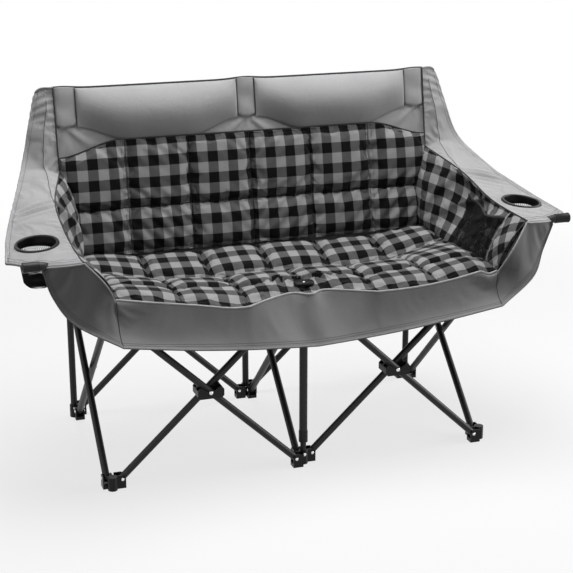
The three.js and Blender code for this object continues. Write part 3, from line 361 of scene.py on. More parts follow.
def clothObject(name, face, back, uv, materials, skip=None, sharedRim=False, normals=None, sharp=35):
    # closes a front and a back grid into one piece; skip marks the cells of a hole
    rows, columns = face.shape[:2]
    faceIndex = np.arange(rows * columns).reshape(rows, columns)
    backIndex = faceIndex + rows * columns
    if sharedRim:
        rim = np.ones((rows, columns), bool)
        rim[1:-1, 1:-1] = False
        backIndex = np.where(rim, faceIndex, backIndex)
    shown = np.ones((rows - 1, columns - 1), bool) if skip is None else ~skip
    front = gridQuads(faceIndex)[shown]
    rear = gridQuads(backIndex)[shown][:, ::-1]
    border = np.zeros((rows + 1, columns + 1), bool)
    border[1:-1, 1:-1] = shown
    walls = []
    for r in range(rows - 1):
        for c in np.flatnonzero(shown[r] & ~(border[r, 1:-1] & border[r + 2, 1:-1])):
            if not border[r, c + 1]:
                walls.append((faceIndex[r, c + 1], faceIndex[r, c], backIndex[r, c], backIndex[r, c + 1]))
            if not border[r + 2, c + 1]:
                walls.append((faceIndex[r + 1, c], faceIndex[r + 1, c + 1], backIndex[r + 1, c + 1],
                              backIndex[r + 1, c]))
        for c in np.flatnonzero(shown[r] & ~(border[r + 1, :-2] & border[r + 1, 2:])):
            if not border[r + 1, c]:
                walls.append((faceIndex[r, c], faceIndex[r + 1, c], backIndex[r + 1, c], backIndex[r, c]))
            if not border[r + 1, c + 2]:
                walls.append((faceIndex[r + 1, c + 1], faceIndex[r, c + 1], backIndex[r, c + 1],
                              backIndex[r + 1, c + 1]))
    walls = [w for w in walls if len(set(w)) == 4]
    quads = np.concatenate([front, rear, np.array(walls, int).reshape(-1, 4)])
    points = np.concatenate([face.reshape(-1, 3), back.reshape(-1, 3)])
    flat = np.concatenate([uv.reshape(-1, 2), uv.reshape(-1, 2)])
    kinds = np.concatenate([np.zeros(len(front), int), np.ones(len(rear), int), np.zeros(len(walls), int)])
    used, quads = np.unique(quads, return_inverse=True)
    quads = quads.reshape(-1, 4)
    mesh = bpy.data.meshes.new(name)
    mesh.from_pydata(points[used].tolist(), [], quads.tolist())
    layer = mesh.uv_layers.new(name="cloth")
    layer.data.foreach_set("uv", flat[used][quads.ravel()].astype(np.float32).ravel())
    for material in materials:
        mesh.materials.append(material)
    mesh.polygons.foreach_set("material_index", np.minimum(kinds, len(materials) - 1).astype(np.int32))
    mesh.polygons.foreach_set("use_smooth", np.ones(len(quads), bool))
    mesh.update()
    if normals is not None:
        both = np.concatenate([normals.reshape(-1, 3), -normals.reshape(-1, 3)])[used]
        mesh.normals_split_custom_set_from_vertices(both.tolist())
    else:
        mesh.set_sharp_from_angle(angle=math.radians(sharp))
    return addObject(name, mesh)


# How the cloth feels, and how many frames it has to come to rest
feel = {"quality": 5, "mass": 0.25, "stiff": 12.0, "shear": 4.0, "bend": 0.6, "damping": 3.0, "frames": 18}


def settleCloth(name, grid, held, pressure, slack, cap, gravity=0.0):
    # pulls a grid between its sewn points, and returns where it comes to rest
    rows, columns = grid.shape[:2]
    index = np.arange(rows * columns).reshape(rows, columns)
    mesh = bpy.data.meshes.new(name)
    mesh.from_pydata(grid.reshape(-1, 3).tolist(), [], gridQuads(index).reshape(-1, 4).tolist())
    cloth = addObject(name, mesh)
    group = cloth.vertex_groups.new(name="sewn")
    group.add(np.flatnonzero(held.ravel()).tolist(), 1.0, "REPLACE")
    modifier = cloth.modifiers.new("cloth", "CLOTH")
    settings = modifier.settings
    settings.quality = feel["quality"]
    settings.mass = feel["mass"]
    settings.tension_stiffness = feel["stiff"]
    settings.compression_stiffness = feel["stiff"]
    settings.shear_stiffness = feel["shear"]
    settings.bending_stiffness = feel["bend"]
    settings.air_damping = feel["damping"]
    settings.vertex_group_mass = "sewn"
    settings.shrink_min = -slack
    settings.shrink_max = -slack
    settings.use_pressure = pressure != 0
    settings.uniform_pressure_force = pressure
    settings.effector_weights.gravity = gravity
    modifier.collision_settings.use_collision = False
    modifier.point_cache.frame_start = 1
    modifier.point_cache.frame_end = feel["frames"]
    for number in range(1, feel["frames"] + 1):
        scene.frame_set(number)
    evaluated = cloth.evaluated_get(bpy.context.evaluated_depsgraph_get())
    found = np.empty(rows * columns * 3, np.float32)
    evaluated.data.vertices.foreach_get("co", found)
    bpy.data.objects.remove(cloth)
    bpy.data.meshes.remove(mesh)
    scene.frame_set(1)
    moved = found.reshape(rows, columns, 3).astype(float) - grid
    length = np.linalg.norm(moved, axis=2, keepdims=True)
    return grid + moved * np.minimum(1.0, cap / np.maximum(length, 1e-9))


def heldRim(rows, columns):
    held = np.zeros((rows, columns), bool)
    held[[0, -1]] = True
    held[:, [0, -1]] = True
    return held


# Geometry Nodes trees for what follows a line or repeats
def newTree(name, sockets):
    tree = bpy.data.node_groups.new(name, "GeometryNodeTree")
    tree.interface.new_socket("Geometry", in_out="INPUT", socket_type="NodeSocketGeometry")
    for label, kind in sockets:
        tree.interface.new_socket(label, in_out="INPUT", socket_type=kind)
    tree.interface.new_socket("Geometry", in_out="OUTPUT", socket_type="NodeSocketGeometry")
    return tree, tree.nodes.new("NodeGroupInput"), tree.nodes.new("NodeGroupOutput")


def finishTree(tree, geometry, material, made):
    real = addNode(tree, "GeometryNodeRealizeInstances", {"Geometry": geometry})
    smooth = addNode(tree, "GeometryNodeSetShadeSmooth", {"Geometry": real.outputs["Geometry"]})
    dressed = addNode(tree, "GeometryNodeSetMaterial", {"Geometry": smooth.outputs[0], "Material": material})
    tree.links.new(dressed.outputs["Geometry"], made.inputs["Geometry"])
    return tree


def stitchTree():
    tree, given, made = newTree("stitchTree", [("Pitch", "NodeSocketFloat"), ("Length", "NodeSocketFloat"),
                                               ("Thickness", "NodeSocketFloat"), ("Thread", "NodeSocketMaterial")])
    spaced = addNode(tree, "GeometryNodeResampleCurve", {"Curve": given.outputs["Geometry"],
                     "Length": given.outputs["Pitch"]}, mode="LENGTH")
    bead = addNode(tree, "GeometryNodeMeshUVSphere", {"Segments": 6, "Rings": 4, "Radius": 1.0})
    tangent = tree.nodes.new("GeometryNodeInputTangent").outputs["Tangent"]
    along = addNode(tree, "FunctionNodeAlignRotationToVector", {"Vector": tangent}, axis="X")
    half = mathNode(tree, "MULTIPLY", given.outputs["Length"], 0.5)
    thick = given.outputs["Thickness"]
    size = addNode(tree, "ShaderNodeCombineXYZ", {"X": half, "Y": thick, "Z": thick})
    placed = addNode(tree, "GeometryNodeInstanceOnPoints", {
        "Points": spaced.outputs["Curve"], "Instance": bead.outputs["Mesh"], "Rotation": along.outputs["Rotation"],
        "Scale": size.outputs["Vector"]})
    return finishTree(tree, placed.outputs["Instances"], given.outputs["Thread"], made)


def pipingTree():
    tree, given, made = newTree("pipingTree", [("Width", "NodeSocketFloat"), ("Height", "NodeSocketFloat"),
                                               ("Sides", "NodeSocketInt"), ("Tape", "NodeSocketMaterial")])
    ring = addNode(tree, "GeometryNodeCurvePrimitiveCircle", {"Resolution": given.outputs["Sides"], "Radius": 1.0},
                   mode="RADIUS")
    size = addNode(tree, "ShaderNodeCombineXYZ", {"X": given.outputs["Width"], "Y": given.outputs["Height"],
                                                  "Z": 1.0})
    profile = addNode(tree, "GeometryNodeTransform", {"Geometry": ring.outputs["Curve"],
                                                      "Scale": size.outputs["Vector"]})
    swept = addNode(tree, "GeometryNodeCurveToMesh", {"Curve": given.outputs["Geometry"],
                    "Profile Curve": profile.outputs["Geometry"], "Fill Caps": True})
    return finishTree(tree, swept.outputs["Mesh"], given.outputs["Tape"], made)


def rivetTree():
    tree, given, made = newTree("rivetTree", [("Radius", "NodeSocketFloat"), ("Height", "NodeSocketFloat"),
                                              ("Metal", "NodeSocketMaterial")])
    dome = addNode(tree, "GeometryNodeMeshUVSphere", {"Segments": 14, "Rings": 8, "Radius": 1.0})
    wide = given.outputs["Radius"]
    size = addNode(tree, "ShaderNodeCombineXYZ", {"X": wide, "Y": wide, "Z": given.outputs["Height"]})
    toward = addNode(tree, "GeometryNodeInputNamedAttribute", {"Name": "facing"}, data_type="FLOAT_VECTOR")
    turned = addNode(tree, "FunctionNodeAlignRotationToVector", {"Vector": toward.outputs["Attribute"]}, axis="Z")
    placed = addNode(tree, "GeometryNodeInstanceOnPoints", {
        "Points": given.outputs["Geometry"], "Instance": dome.outputs["Mesh"], "Rotation": turned.outputs["Rotation"],
        "Scale": size.outputs["Vector"]})
    return finishTree(tree, placed.outputs["Instances"], given.outputs["Metal"], made)


def runTree(source, name, tree, values):
    modifier = source.modifiers.new("tree", "NODES")
    modifier.node_group = tree
    for item in tree.interface.items_tree:
        if item.in_out == "INPUT" and item.name in values:
            modifier[item.identifier] = values[item.name]
    return plainCopy(source, name)


def lineObject(lines):
    curve = bpy.data.curves.new("lines", "CURVE")
    curve.dimensions = "3D"
    for line in lines:
        spline = curve.splines.new("POLY")
        spline.points.add(len(line) - 1)
        spline.points.foreach_set("co", np.c_[line, np.ones(len(line))].ravel())
    return addObject("lines", curve)


trees = {"stitch": stitchTree(), "piping": pipingTree(), "rivet": rivetTree()}
stitch = {"Pitch": 0.0046, "Length": 0.0034, "Thickness": 0.00055}
seamLift = 0.0006  # stitches lie this far off the quilts
hemLift = 0.0005  # and off the hems


def piping(name, lines, size, tape, ring=10):
    width, height = size
    values = {"Width": width, "Height": height, "Sides": ring, "Tape": tape}
    piece = runTree(lineObject(lines), name, trees["piping"], values)
    clothUv(piece)
    return piece


def clothUv(piece):
    # cloth coordinates in metres from the two longest directions of a narrow piece
    mesh = piece.data
    points = np.empty(len(mesh.vertices) * 3, np.float32)
    mesh.vertices.foreach_get("co", points)
    points = points.reshape(-1, 3)
    loops = np.empty(len(mesh.loops), np.int32)
    mesh.loops.foreach_get("vertex_index", loops)
    flat = np.stack([points[:, 0] + points[:, 1], points[:, 2] + points[:, 1] * 0.5], axis=1)
    for old in list(mesh.uv_layers):
        mesh.uv_layers.remove(old)
    layer = mesh.uv_layers.new(name="cloth")
    layer.data.foreach_set("uv", flat[loops].astype(np.float32).ravel())


def carry(piece, body, stands=(), fold=None):
    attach(piece, body)
    if stands:
        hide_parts(*stands)
    if fold:
        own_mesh(piece)


def sewStitches(name, lines, body, fold=None, thread=threadDark):
    piece = runTree(lineObject(lines), name, trees["stitch"], dict(stitch, Thread=thread))
    carry(piece, body, fold=fold)


def sewPiping(name, lines, size, tape, body, fold):
    carry(piping(name, lines, size, tape), body, fold=fold)


def clothLengths(grid):
    # cloth coordinates of a grid, in metres along its rows and columns
    across = np.linalg.norm(np.diff(grid, axis=1), axis=2).cumsum(axis=1)
    along = np.linalg.norm(np.diff(grid, axis=0), axis=2).cumsum(axis=0)
    u = np.pad(across, ((0, 0), (1, 0)))
    v = np.pad(along, ((1, 0), (0, 0)))
    return np.stack([u, v], axis=2)


def insideLine(grid, edge, distance):
    # a line at a distance inside one edge of a grid
    lines = {"first": grid, "last": grid[::-1], "left": grid.swapaxes(0, 1), "right": grid.swapaxes(0, 1)[::-1]}
    strips = lines[edge]
    travel = np.linalg.norm(np.diff(strips, axis=0), axis=2).cumsum(axis=0)
    travel = np.pad(travel, ((1, 0), (0, 0)))
    return np.array([[np.interp(distance, travel[:, i], strips[:, i, k]) for k in range(3)]
                     for i in range(strips.shape[1])])


def unevened(grid, held, seed, size):
    # slight unevenness of cloth, so that it settles as cloth does
    rng = np.random.default_rng(seed)
    return grid + rng.normal(0, size, grid.shape) * ~held[..., None]


def fromNearestPost(x):
    return np.min(np.abs(np.asarray(x)[..., None] - np.array(list(columnX.values()))), axis=-1)


# Seat: six quilted columns in two rows, sewn to a lining
seat = {
    "half": bay - 0.008, "seam": hubFace + 0.017, "sag": 0.006, "sideLift": 0.010, "cornerLift": 0.025,
    "liftPower": 4, "front": frontY - 0.0825, "notch": 0.075, "notchRun": 0.175, "tongue": 0.046, "tongueRun": 0.026,
    "rowSeam": midY, "dip": 0.038, "dipFrom": frontY + 0.080, "dipTo": midY - 0.010, "droop": 0.016,
    "droopFrom": 0.462, "droopRun": 0.035, "leftPower": 2.0, "leftLift": 0.011, "leftDip": 0.010, "leftDipAt": -0.205,
    "leftDipRun": 0.075, "back": midY + 0.148, "columns": 6, "cellsAcross": 26, "cellsFront": 56, "cellsBack": 26,
    "puff": (0.0125, 0.0135), "rowRound": 0.3, "columnRound": 0.27, "under": 0.0155, "pressure": 1.6, "slack": 0.035,
    "cap": 0.007, "edgeRoll": 0.004, "rollRun": 0.030, "crease": frontY + 0.030, "creaseDepth": 0.0075,
    "creaseRun": 0.009, "creaseFrom": 0.09, "creaseFade": 0.05, "wander": ((0.010, 23.0), (0.006, 61.0)),
    "ridge": 0.4, "ridgeBehind": 0.022, "ridgeRun": 0.013, "ripple": 0.0070, "ripplePitch": 0.020,
    "rippleOval": (0.8, 1.25), "rippleFrom": -0.01, "rippleFade": 0.03, "rippleAt": 0.060, "rippleRun": 0.030,
    "knobHole": 0.0195, "knobHeld": 0.022, "knobDip": 0.0055, "knobOval": 0.75, "knobRun": 0.036,
    "shiftFront": (0.18, -0.14), "shiftRear": (0.18, -1.0), "rearStretch": 1.03,
    "tape": (0.0024, 0.0032), "tapeOff": (0, -0.0012, -0.0006),
}


def checkUv(x, y, across, along):
    # cloth coordinates of the checks, shifted by parts of a square
    return np.stack([x + across * check["square"], y + along * check["square"]], axis=2)


def towardSeams(count, columns, pull=0.6):
    # even steps, drawn closer together beside every seam
    t = np.linspace(0, columns, count + 1)
    return (t - pull * np.sin(2 * np.pi * t) / (2 * np.pi)) / columns


def channel(t, sharp):
    return np.abs(np.sin(np.pi * t)) ** sharp


def seatSeam(x, y):
    side = (np.abs(x) / seat["half"]) ** seat["liftPower"]
    forward = np.clip((y - midY) / (seat["front"] - midY), 0, 1)
    sag = seat["sag"] * np.sin(np.pi * x / bay) ** 2
    front = smoothStep((y - seat["dipFrom"]) / (seat["dipTo"] - seat["dipFrom"]))
    rear = np.clip((seat["back"] - y) / (seat["back"] - seat["rowSeam"]), 0, 1)
    dip = seat["dip"] * np.where(y < seat["rowSeam"], front, rear) * (1 - side)
    # the right front corner hangs a little
    droop = seat["droop"] * smoothStep((x - seat["droopFrom"]) / seat["droopRun"]) * forward**2
    # the left side rises more gently than the right
    lift = np.where(x < 0, (np.abs(x) / seat["half"]) ** seat["leftPower"], side)
    corner = seat["cornerLift"] + np.where(x < 0, seat["leftLift"], 0)
    leftDip = seat["leftDip"] * bump(x - seat["leftDipAt"], seat["leftDipRun"]) * forward**2
    return seat["seam"] - sag - dip - droop - leftDip + lift * (seat["sideLift"] + corner * forward)


def seatFrontEdge(x):
    draw = np.minimum(np.abs(x) / seat["notchRun"], 1)
    return seat["front"] + seat["notch"] * (1 - draw) - seat["tongue"] * bump(x, seat["tongueRun"])


def knobHollow(x, y):
    return seat["knobDip"] * bump(np.hypot(x * seat["knobOval"], y - frontY), seat["knobRun"])


def seatGrid():
    count = seat["columns"] * seat["cellsAcross"]
    u = towardSeams(count, seat["columns"])
    x = (2 * u - 1) * seat["half"]
    edge = seatFrontEdge(x)
    front = np.linspace(0, 1, seat["cellsFront"] + 1)[:, None]
    back = towardSeams(seat["cellsBack"], 1)[1:, None]
    y = np.concatenate([edge + (seat["rowSeam"] - edge) * front,
                        seat["rowSeam"] + (seat["back"] - seat["rowSeam"]) * back + 0 * x])
    x = np.broadcast_to(x, y.shape)
    rowShare = np.concatenate([front, back])
    height = np.where(y < seat["rowSeam"], *seat["puff"])
    puff = height * channel(rowShare, seat["rowRound"]) * channel(u * seat["columns"], seat["columnRound"])
    z = seatSeam(x, y) + puff - seat["edgeRoll"] * bump(y - edge, seat["rollRun"])
    # a cross crease in the front row, and arcs of gathered cloth behind the knob
    wander = sum(size * np.sin(x * pace) for size, pace in seat["wander"])
    fromCrease = y - seat["crease"] - wander
    away = smoothStep((np.abs(x) - seat["creaseFrom"]) / seat["creaseFade"])
    z = z - seat["creaseDepth"] * bump(fromCrease, seat["creaseRun"]) * away
    z = z + seat["ridge"] * seat["creaseDepth"] * bump(fromCrease - seat["ridgeBehind"], seat["ridgeRun"]) * away
    wide, deep = seat["rippleOval"]
    reach = np.hypot(x * wide, (y - frontY) * deep)
    behind = smoothStep((y - frontY - seat["rippleFrom"]) / seat["rippleFade"])
    arcs = np.cos(2 * np.pi * reach / seat["ripplePitch"]) * bump(reach - seat["rippleAt"], seat["rippleRun"])
    z = z + seat["ripple"] * arcs * behind - knobHollow(x, y)
    ahead = y - seat["rowSeam"]
    frontUv = checkUv(x, ahead, *seat["shiftFront"])
    rearUv = checkUv(x, seat["rearStretch"] * ahead, *seat["shiftRear"])
    return np.stack([x, y, z], axis=2), np.where(ahead[..., None] < 1e-6, frontUv, rearUv)


def seatHeld(grid):
    rows, columns = grid.shape[:2]
    held = heldRim(rows, columns)
    held[seat["cellsFront"]] = True
    held[:, ::seat["cellsAcross"]] = True
    reach = np.hypot(grid[..., 0], grid[..., 1] - frontY)
    return held | (reach < seat["knobHeld"])


def makeSeat():
    start, uv = seatGrid()
    top = settleCloth("seatCloth", start, seatHeld(start), seat["pressure"], seat["slack"], seat["cap"])
    top = doubled(top)
    uv = doubled(uv)
    under = top.copy()
    under[..., 2] = seatSeam(top[..., 0], top[..., 1]) - seat["under"]
    # the rim closes on the sewn edge
    rim = heldRim(*top.shape[:2])
    under[rim] = top[rim]
    middle = top[:-1, :-1] + (top[1:, 1:] - top[:-1, :-1]) / 2
    hole = np.hypot(middle[..., 0], middle[..., 1] - frontY) < seat["knobHole"]
    normals = gridNormals(top)
    split = int(np.argmin(np.abs(top[:, 0, 1] - midY)))
    halves = {"front": slice(0, split + 1), "rear": slice(split, None)}
    for half, rows in halves.items():
        cells = slice(rows.start, split if half == "front" else None)
        piece = clothObject(f"seat_quilt_{half}", top[rows], under[rows], uv[rows], [checkPlaid, liningBlack],
                            skip=hole[cells], normals=normals[rows])
        carry(piece, f"seat_{half}", [f"seat_pad_{half}"], "across")
    step = 2 * seat["cellsAcross"]
    lifted = top + normals * seamLift
    seams = [lifted[:, column] for column in range(step, top.shape[1] - 1, step)]
    lines = {"front": [line[:split] for line in seams] + [lifted[2 * seat["cellsFront"]]],
             "rear": [line[split:] for line in seams]}
    for half in halves:
        sewStitches(f"seat_stitch_{half}", lines[half], f"seat_{half}", "across")
    tape = top[0] + np.array(seat["tapeOff"])
    sewPiping("seat_front_tape", [tape], seat["tape"], tapePale, "seat_front", "across")
    print("seat quilted:", top.shape)


# Back: six quilted columns in two rows, on a panel that hangs from the three posts
back = {
    "lean": 0.1775, "panelTop": postTop - 0.001, "panelTopY": rearY - 0.016, "half": bay + 0.020,
    "bottom": hubFace + 0.034, "below": 0.012, "lowRow": 0.117, "top": postTop - 0.140, "topDrop": 0.040,
    "topFlat": 0.370, "columns": 6, "cellsAcross": 26, "cellsLow": 22, "cellsHigh": 34, "pad": 0.010, "puff": 0.0165,
    "rowRound": 0.22, "columnRound": 0.24, "pressure": 1.6, "slack": 0.035, "cap": 0.007, "topRise": 0.0035,
    "postRise": 0.0045, "postRun": 0.045, "quiltHalf": bay + 0.016, "tuck": 0.020, "tuckRun": 0.22, "fold": 0.0045,
    "foldPitch": 0.050, "foldPace": (9, 13), "outerStitch": 0.010, "checkShift": -0.45, "rearGap": 0.0005,
    "piping": (0.0022, 0.0022), "pipingOff": (0, -0.001, 0.001),
}


def panelFront(z):
    return back["panelTopY"] - (back["panelTop"] - z) * back["lean"]


def topEdge(x):
    # the cloth stands up a little over each post
    over = bump(fromNearestPost(x), back["postRun"])
    return back["panelTop"] + back["topRise"] + back["postRise"] * over


def backTop(x):
    fall = smoothStep((np.abs(x) - back["topFlat"]) / (back["half"] - back["topFlat"]))
    return back["top"] - back["topDrop"] * fall


def makeBackQuilt():
    count = back["columns"] * back["cellsAcross"]
    u = towardSeams(count, back["columns"])
    x = (2 * u - 1) * back["quiltHalf"]
    low = towardSeams(back["cellsLow"], 1)[:, None]
    high = towardSeams(back["cellsHigh"], 1)[1:, None]
    seamZ = back["bottom"] + back["lowRow"]
    z = np.concatenate([back["bottom"] - back["below"] + (back["lowRow"] + back["below"]) * low + 0 * x,
                        seamZ + (backTop(x) - seamZ) * high])
    # the outer columns narrow behind the bolsters
    inner = back["quiltHalf"] * (1 - 2 / back["columns"])
    narrow = back["tuck"] * (1 - smoothStep((z - back["bottom"]) / back["tuckRun"]))
    beyond = np.clip((np.abs(x) - inner) / (back["quiltHalf"] - inner), 0, 1)
    x = np.broadcast_to(x, z.shape) - np.sign(x) * narrow * beyond
    share = np.concatenate([low, high])
    column = u * back["columns"]
    puff = back["puff"] * channel(share, back["rowRound"]) * channel(column, back["columnRound"])
    # slack folds run down towards the middle of the back
    paceX, paceZ = back["foldPace"]
    folds = np.cos(2 * np.pi * (z - np.abs(x)) / back["foldPitch"]) * np.sin(paceX * x + 1) * np.sin(paceZ * z)
    slack = back["fold"] * folds * channel(share, 1.0) * channel(column, 1.0)
    y = panelFront(z) - back["pad"] - puff - slack
    start = np.stack([x, y, z], axis=2)
    uv = checkUv(x, z - seamZ, 0.0, back["checkShift"])
    held = heldRim(*start.shape[:2])
    held[back["cellsLow"]] = True
    held[:, ::back["cellsAcross"]] = True
    front = doubled(settleCloth("backCloth", start, held, back["pressure"], back["slack"], back["cap"]))
    uv = doubled(uv)
    rear = front.copy()
    rear[..., 1] = panelFront(front[..., 2]) - back["rearGap"]
    piece = clothObject("back_quilt", front, rear, uv, [checkPlaid, liningBlack], sharp=70)
    carry(piece, "rear_center_post", ["back_pad"], "across")
    lifted = front + gridNormals(front) * seamLift
    step = 2 * back["cellsAcross"]
    lines = [lifted[:, c] for c in range(step, front.shape[1] - 1, step)] + [lifted[2 * back["cellsLow"]]]
    # the outer seams are sewn twice
    for seam, way in ((step, -1), (front.shape[1] - 1 - step, 1)):
        off = front[0, :, 0] - front[0, seam, 0]
        away = np.abs(np.abs(off) - back["outerStitch"])
        lines.append(lifted[:, int(np.argmin(np.where(way * off > 0, away, 1.0)))])
    sewStitches("back_stitch", lines, "rear_center_post", "across")
    edge = front[-1] + np.array(back["pipingOff"])
    sewPiping("back_top_piping", [edge], back["piping"], tapeDark, "rear_center_post", "across")
    print("back quilted:", front.shape)


# Flap: the seat's lining goes on behind the quilt, over the rear sliders
flap = {"back": midY + 0.245, "low": hubFace - 0.0005, "cloth": 0.0035, "ripple": 0.0012, "ripplePitch": 0.175,
        "rippleRun": 0.1, "lap": 0.004, "hems": (0.006, 0.010), "cells": (104, 14)}


def makeFlap():
    across, along = flap["cells"]
    x = np.broadcast_to(np.linspace(-seat["half"], seat["half"], across + 1), (along + 1, across + 1))
    y = np.broadcast_to(np.linspace(seat["back"] - flap["lap"], flap["back"], along + 1)[:, None], x.shape)
    wave = np.cos(2 * np.pi * x / flap["ripplePitch"]) * np.sin(np.pi * (y - seat["back"]) / flap["rippleRun"])
    top = np.stack([x, y, flap["low"] + flap["cloth"] + flap["ripple"] * wave], axis=2)
    top, flat = facing(top, top[..., :2], (0, 0, 1))
    piece = clothObject("seat_flap", top, top - np.array([0, 0, flap["cloth"]]), flat, [liningBlack])
    carry(piece, "seat_rear", fold="across")
    lifted = top + np.array([0, 0, seamLift])
    hems = [insideLine(lifted, "last", distance) for distance in flap["hems"]]
    sewStitches("flap_stitch", hems, "seat_rear", "across", threadGrey)


makeSeat()
makeFlap()
makeBackQuilt()

# Shell outline of the right side, from the right front hub's pivots or the right back post's top
shell = {
    "innerEdge": [(0.060, 0.2995, 0.230), (0.065, 0.1125, 0.189), (0.067, -0.0925, 0.180)],
    "armOuter": [(0.177, 0.2995, 0.222), (0.213, 0.1625, 0.188), (0.237, 0.0155, 0.166)],
    "wingOuter": [(0.066, -0.0065, 0.008), (0.092, -0.0305, -0.090), (0.123, -0.0725, -0.195)],
    "hemSide": [(0.093, -0.0965, 0.027), (0.138, -0.0595, 0.088), (0.161, -0.0655, 0.160)],
    "bolsterTop": 0.221, "lip": 0.003, "wingSide": 2 / 3, "wingEnd": 1 / 3, "frontBow": 0.027,
    "proud": 0.005, "edgeOut": 0.0003, "edgeRise": 0.0025, "cup": fromHub(0.149, 0.0915, 0.192),
}
bolsterTop = postTop - shell["bolsterTop"]
pipingLine = [np.array([back["half"] - shell["lip"], panelFront(bolsterTop) - shell["proud"], bolsterTop])]
pipingLine += [fromHub(*p) for p in shell["innerEdge"]]
wingLine = [fromPost(*p) for p in shell["wingOuter"]] + [fromHub(*shell["armOuter"][0])]
armLine = [fromHub(*p) for p in shell["armOuter"]]


def shellEdge(t):
    return throughPoints(pipingLine, t) + np.array([shell["lip"] + shell["edgeOut"], 0, shell["edgeRise"]])


def wingInner(v):
    side = shell["wingSide"]
    foot = shellEdge(0.0)
    high = back["panelTop"] + back["topRise"] + back["postRise"]
    z = high + (foot[2] - high) * np.minimum(v / side, 1)
    upper = np.stack([foot[0] + 0 * z, panelFront(z) - shell["proud"], z], axis=-1)
    lower = shellEdge(shell["wingEnd"] * np.clip((v - side) / (1 - side), 0, 1))
    return np.where((v > side)[:, None], lower, upper)


# Wing and arm: one cloth from the top of the outer post forward to the arm's front edge
wing = {
    "cellsDown": 64, "cellsArm": 50, "cellsOut": 24, "cloth": 0.0035, "armCloth": 0.006, "ridge": 0.011,
    "ridgeIn": 0.55, "ridgeForward": 0.75, "ridgeFrom": 0.2, "ridgeTo": 0.25, "round": 0.012, "roundRun": 0.14,
    "seamAt": ([0.1, 0.35, 0.62, 0.82, 1.0], [0.45, 0.55, 0.52, 0.25, 0.0]), "seamPoints": 60,
    "pressure": 0.4, "slack": 0.012, "cap": 0.006, "wrinkle": 0.0075, "wrinklePitch": 0.029, "wrinkleSlant": 0.045,
    "wrinkleAt": 0.006, "wrinkleRun": 0.030, "crumple": 0.0014, "crumplePitch": 0.026, "crumpleSlant": 0.02,
    "crumpleAt": 0.045, "crumpleRun": 0.026, "hem": 0.0095, "band": 0.026, "cupHole": 0.0515, "cupHeld": 0.062,
    "cupAround": (0.052, 0.068), "hemUnder": 0.0015, "frontUnder": 0.002, "postProud": 0.001,
    "topOff": (0, -0.001, 0.001),
    "edges": {"wing_hem": (0.0024, 0.0024), "arm_hem": (0.0030, 0.0034), "arm_front_hem": (0.0030, 0.0036),
              "post_piping": (0.0021, 0.0021), "bolster_piping": (0.0019, 0.0019), "arm_piping": (0.0019, 0.0019),
              "wing_seam": (0.0007, 0.0007), "wing_top_tape": (0.0016, 0.0024)},
}


def wingSeamShare(v):
    return np.interp(v, *wing["seamAt"])


def wingArmGrid():
    u = np.linspace(0, 1, wing["cellsOut"] + 1)
    v = np.linspace(0, 1, wing["cellsDown"] + 1)
    upper = lerp(wingInner(v)[:, None], throughPoints(wingLine, v)[:, None], u[None, :, None])
    # the seam stands up as a ridge, and the top corner is rounded
    share = np.maximum(wingSeamShare(v)[:, None], 0.02)
    tent = np.where(u < share, u / share, (1 - u) / (1 - share))
    fade = smoothStep(v / wing["ridgeFrom"])[:, None] * smoothStep((1 - v) / wing["ridgeTo"])[:, None]
    lift = wing["ridge"] * tent * fade
    upper[..., 1] -= lift * wing["ridgeForward"]
    upper[..., 0] -= lift * wing["ridgeIn"]
    upper[..., 2] -= wing["round"] * u**5 * np.maximum(0, 1 - v / wing["roundRun"])[:, None] ** 2
    w = np.linspace(0, 1, wing["cellsArm"] + 1)[1:]
    inner = shellEdge(lerp(shell["wingEnd"], 1.0, w))
    lower = lerp(inner[:, None], throughPoints(armLine, w)[:, None], u[None, :, None])
    lower[..., 1] -= shell["frontBow"] * np.sin(np.pi * u) * w[:, None] ** 4
    grid = np.concatenate([upper, lower])
    # folds run outward where the wing turns into the arm
    along = clothLengths(grid)[..., 1] - clothLengths(grid)[wing["cellsDown"], :, 1]
    place = along - wing["wrinkleSlant"] * u
    waves = np.cos(2 * np.pi * place / wing["wrinklePitch"])
    fold = wing["wrinkle"] * waves * bump(place - wing["wrinkleAt"], wing["wrinkleRun"])
    grid[..., 2] += fold * np.sin(np.pi * np.clip(u * 1.1, 0, 1)) ** 0.6
    # the top corner is crumpled
    down = clothLengths(grid)[..., 1]
    waves = np.cos(2 * np.pi * (down - wing["crumpleSlant"] * u) / wing["crumplePitch"])
    crumple = wing["crumple"] * waves * bump(down - wing["crumpleAt"], wing["crumpleRun"])
    grid[..., 1] -= crumple * np.sin(np.pi * u) ** 0.5
    return grid


cupLie = {}  # how the cloth lies around each cup: its two slopes and its height


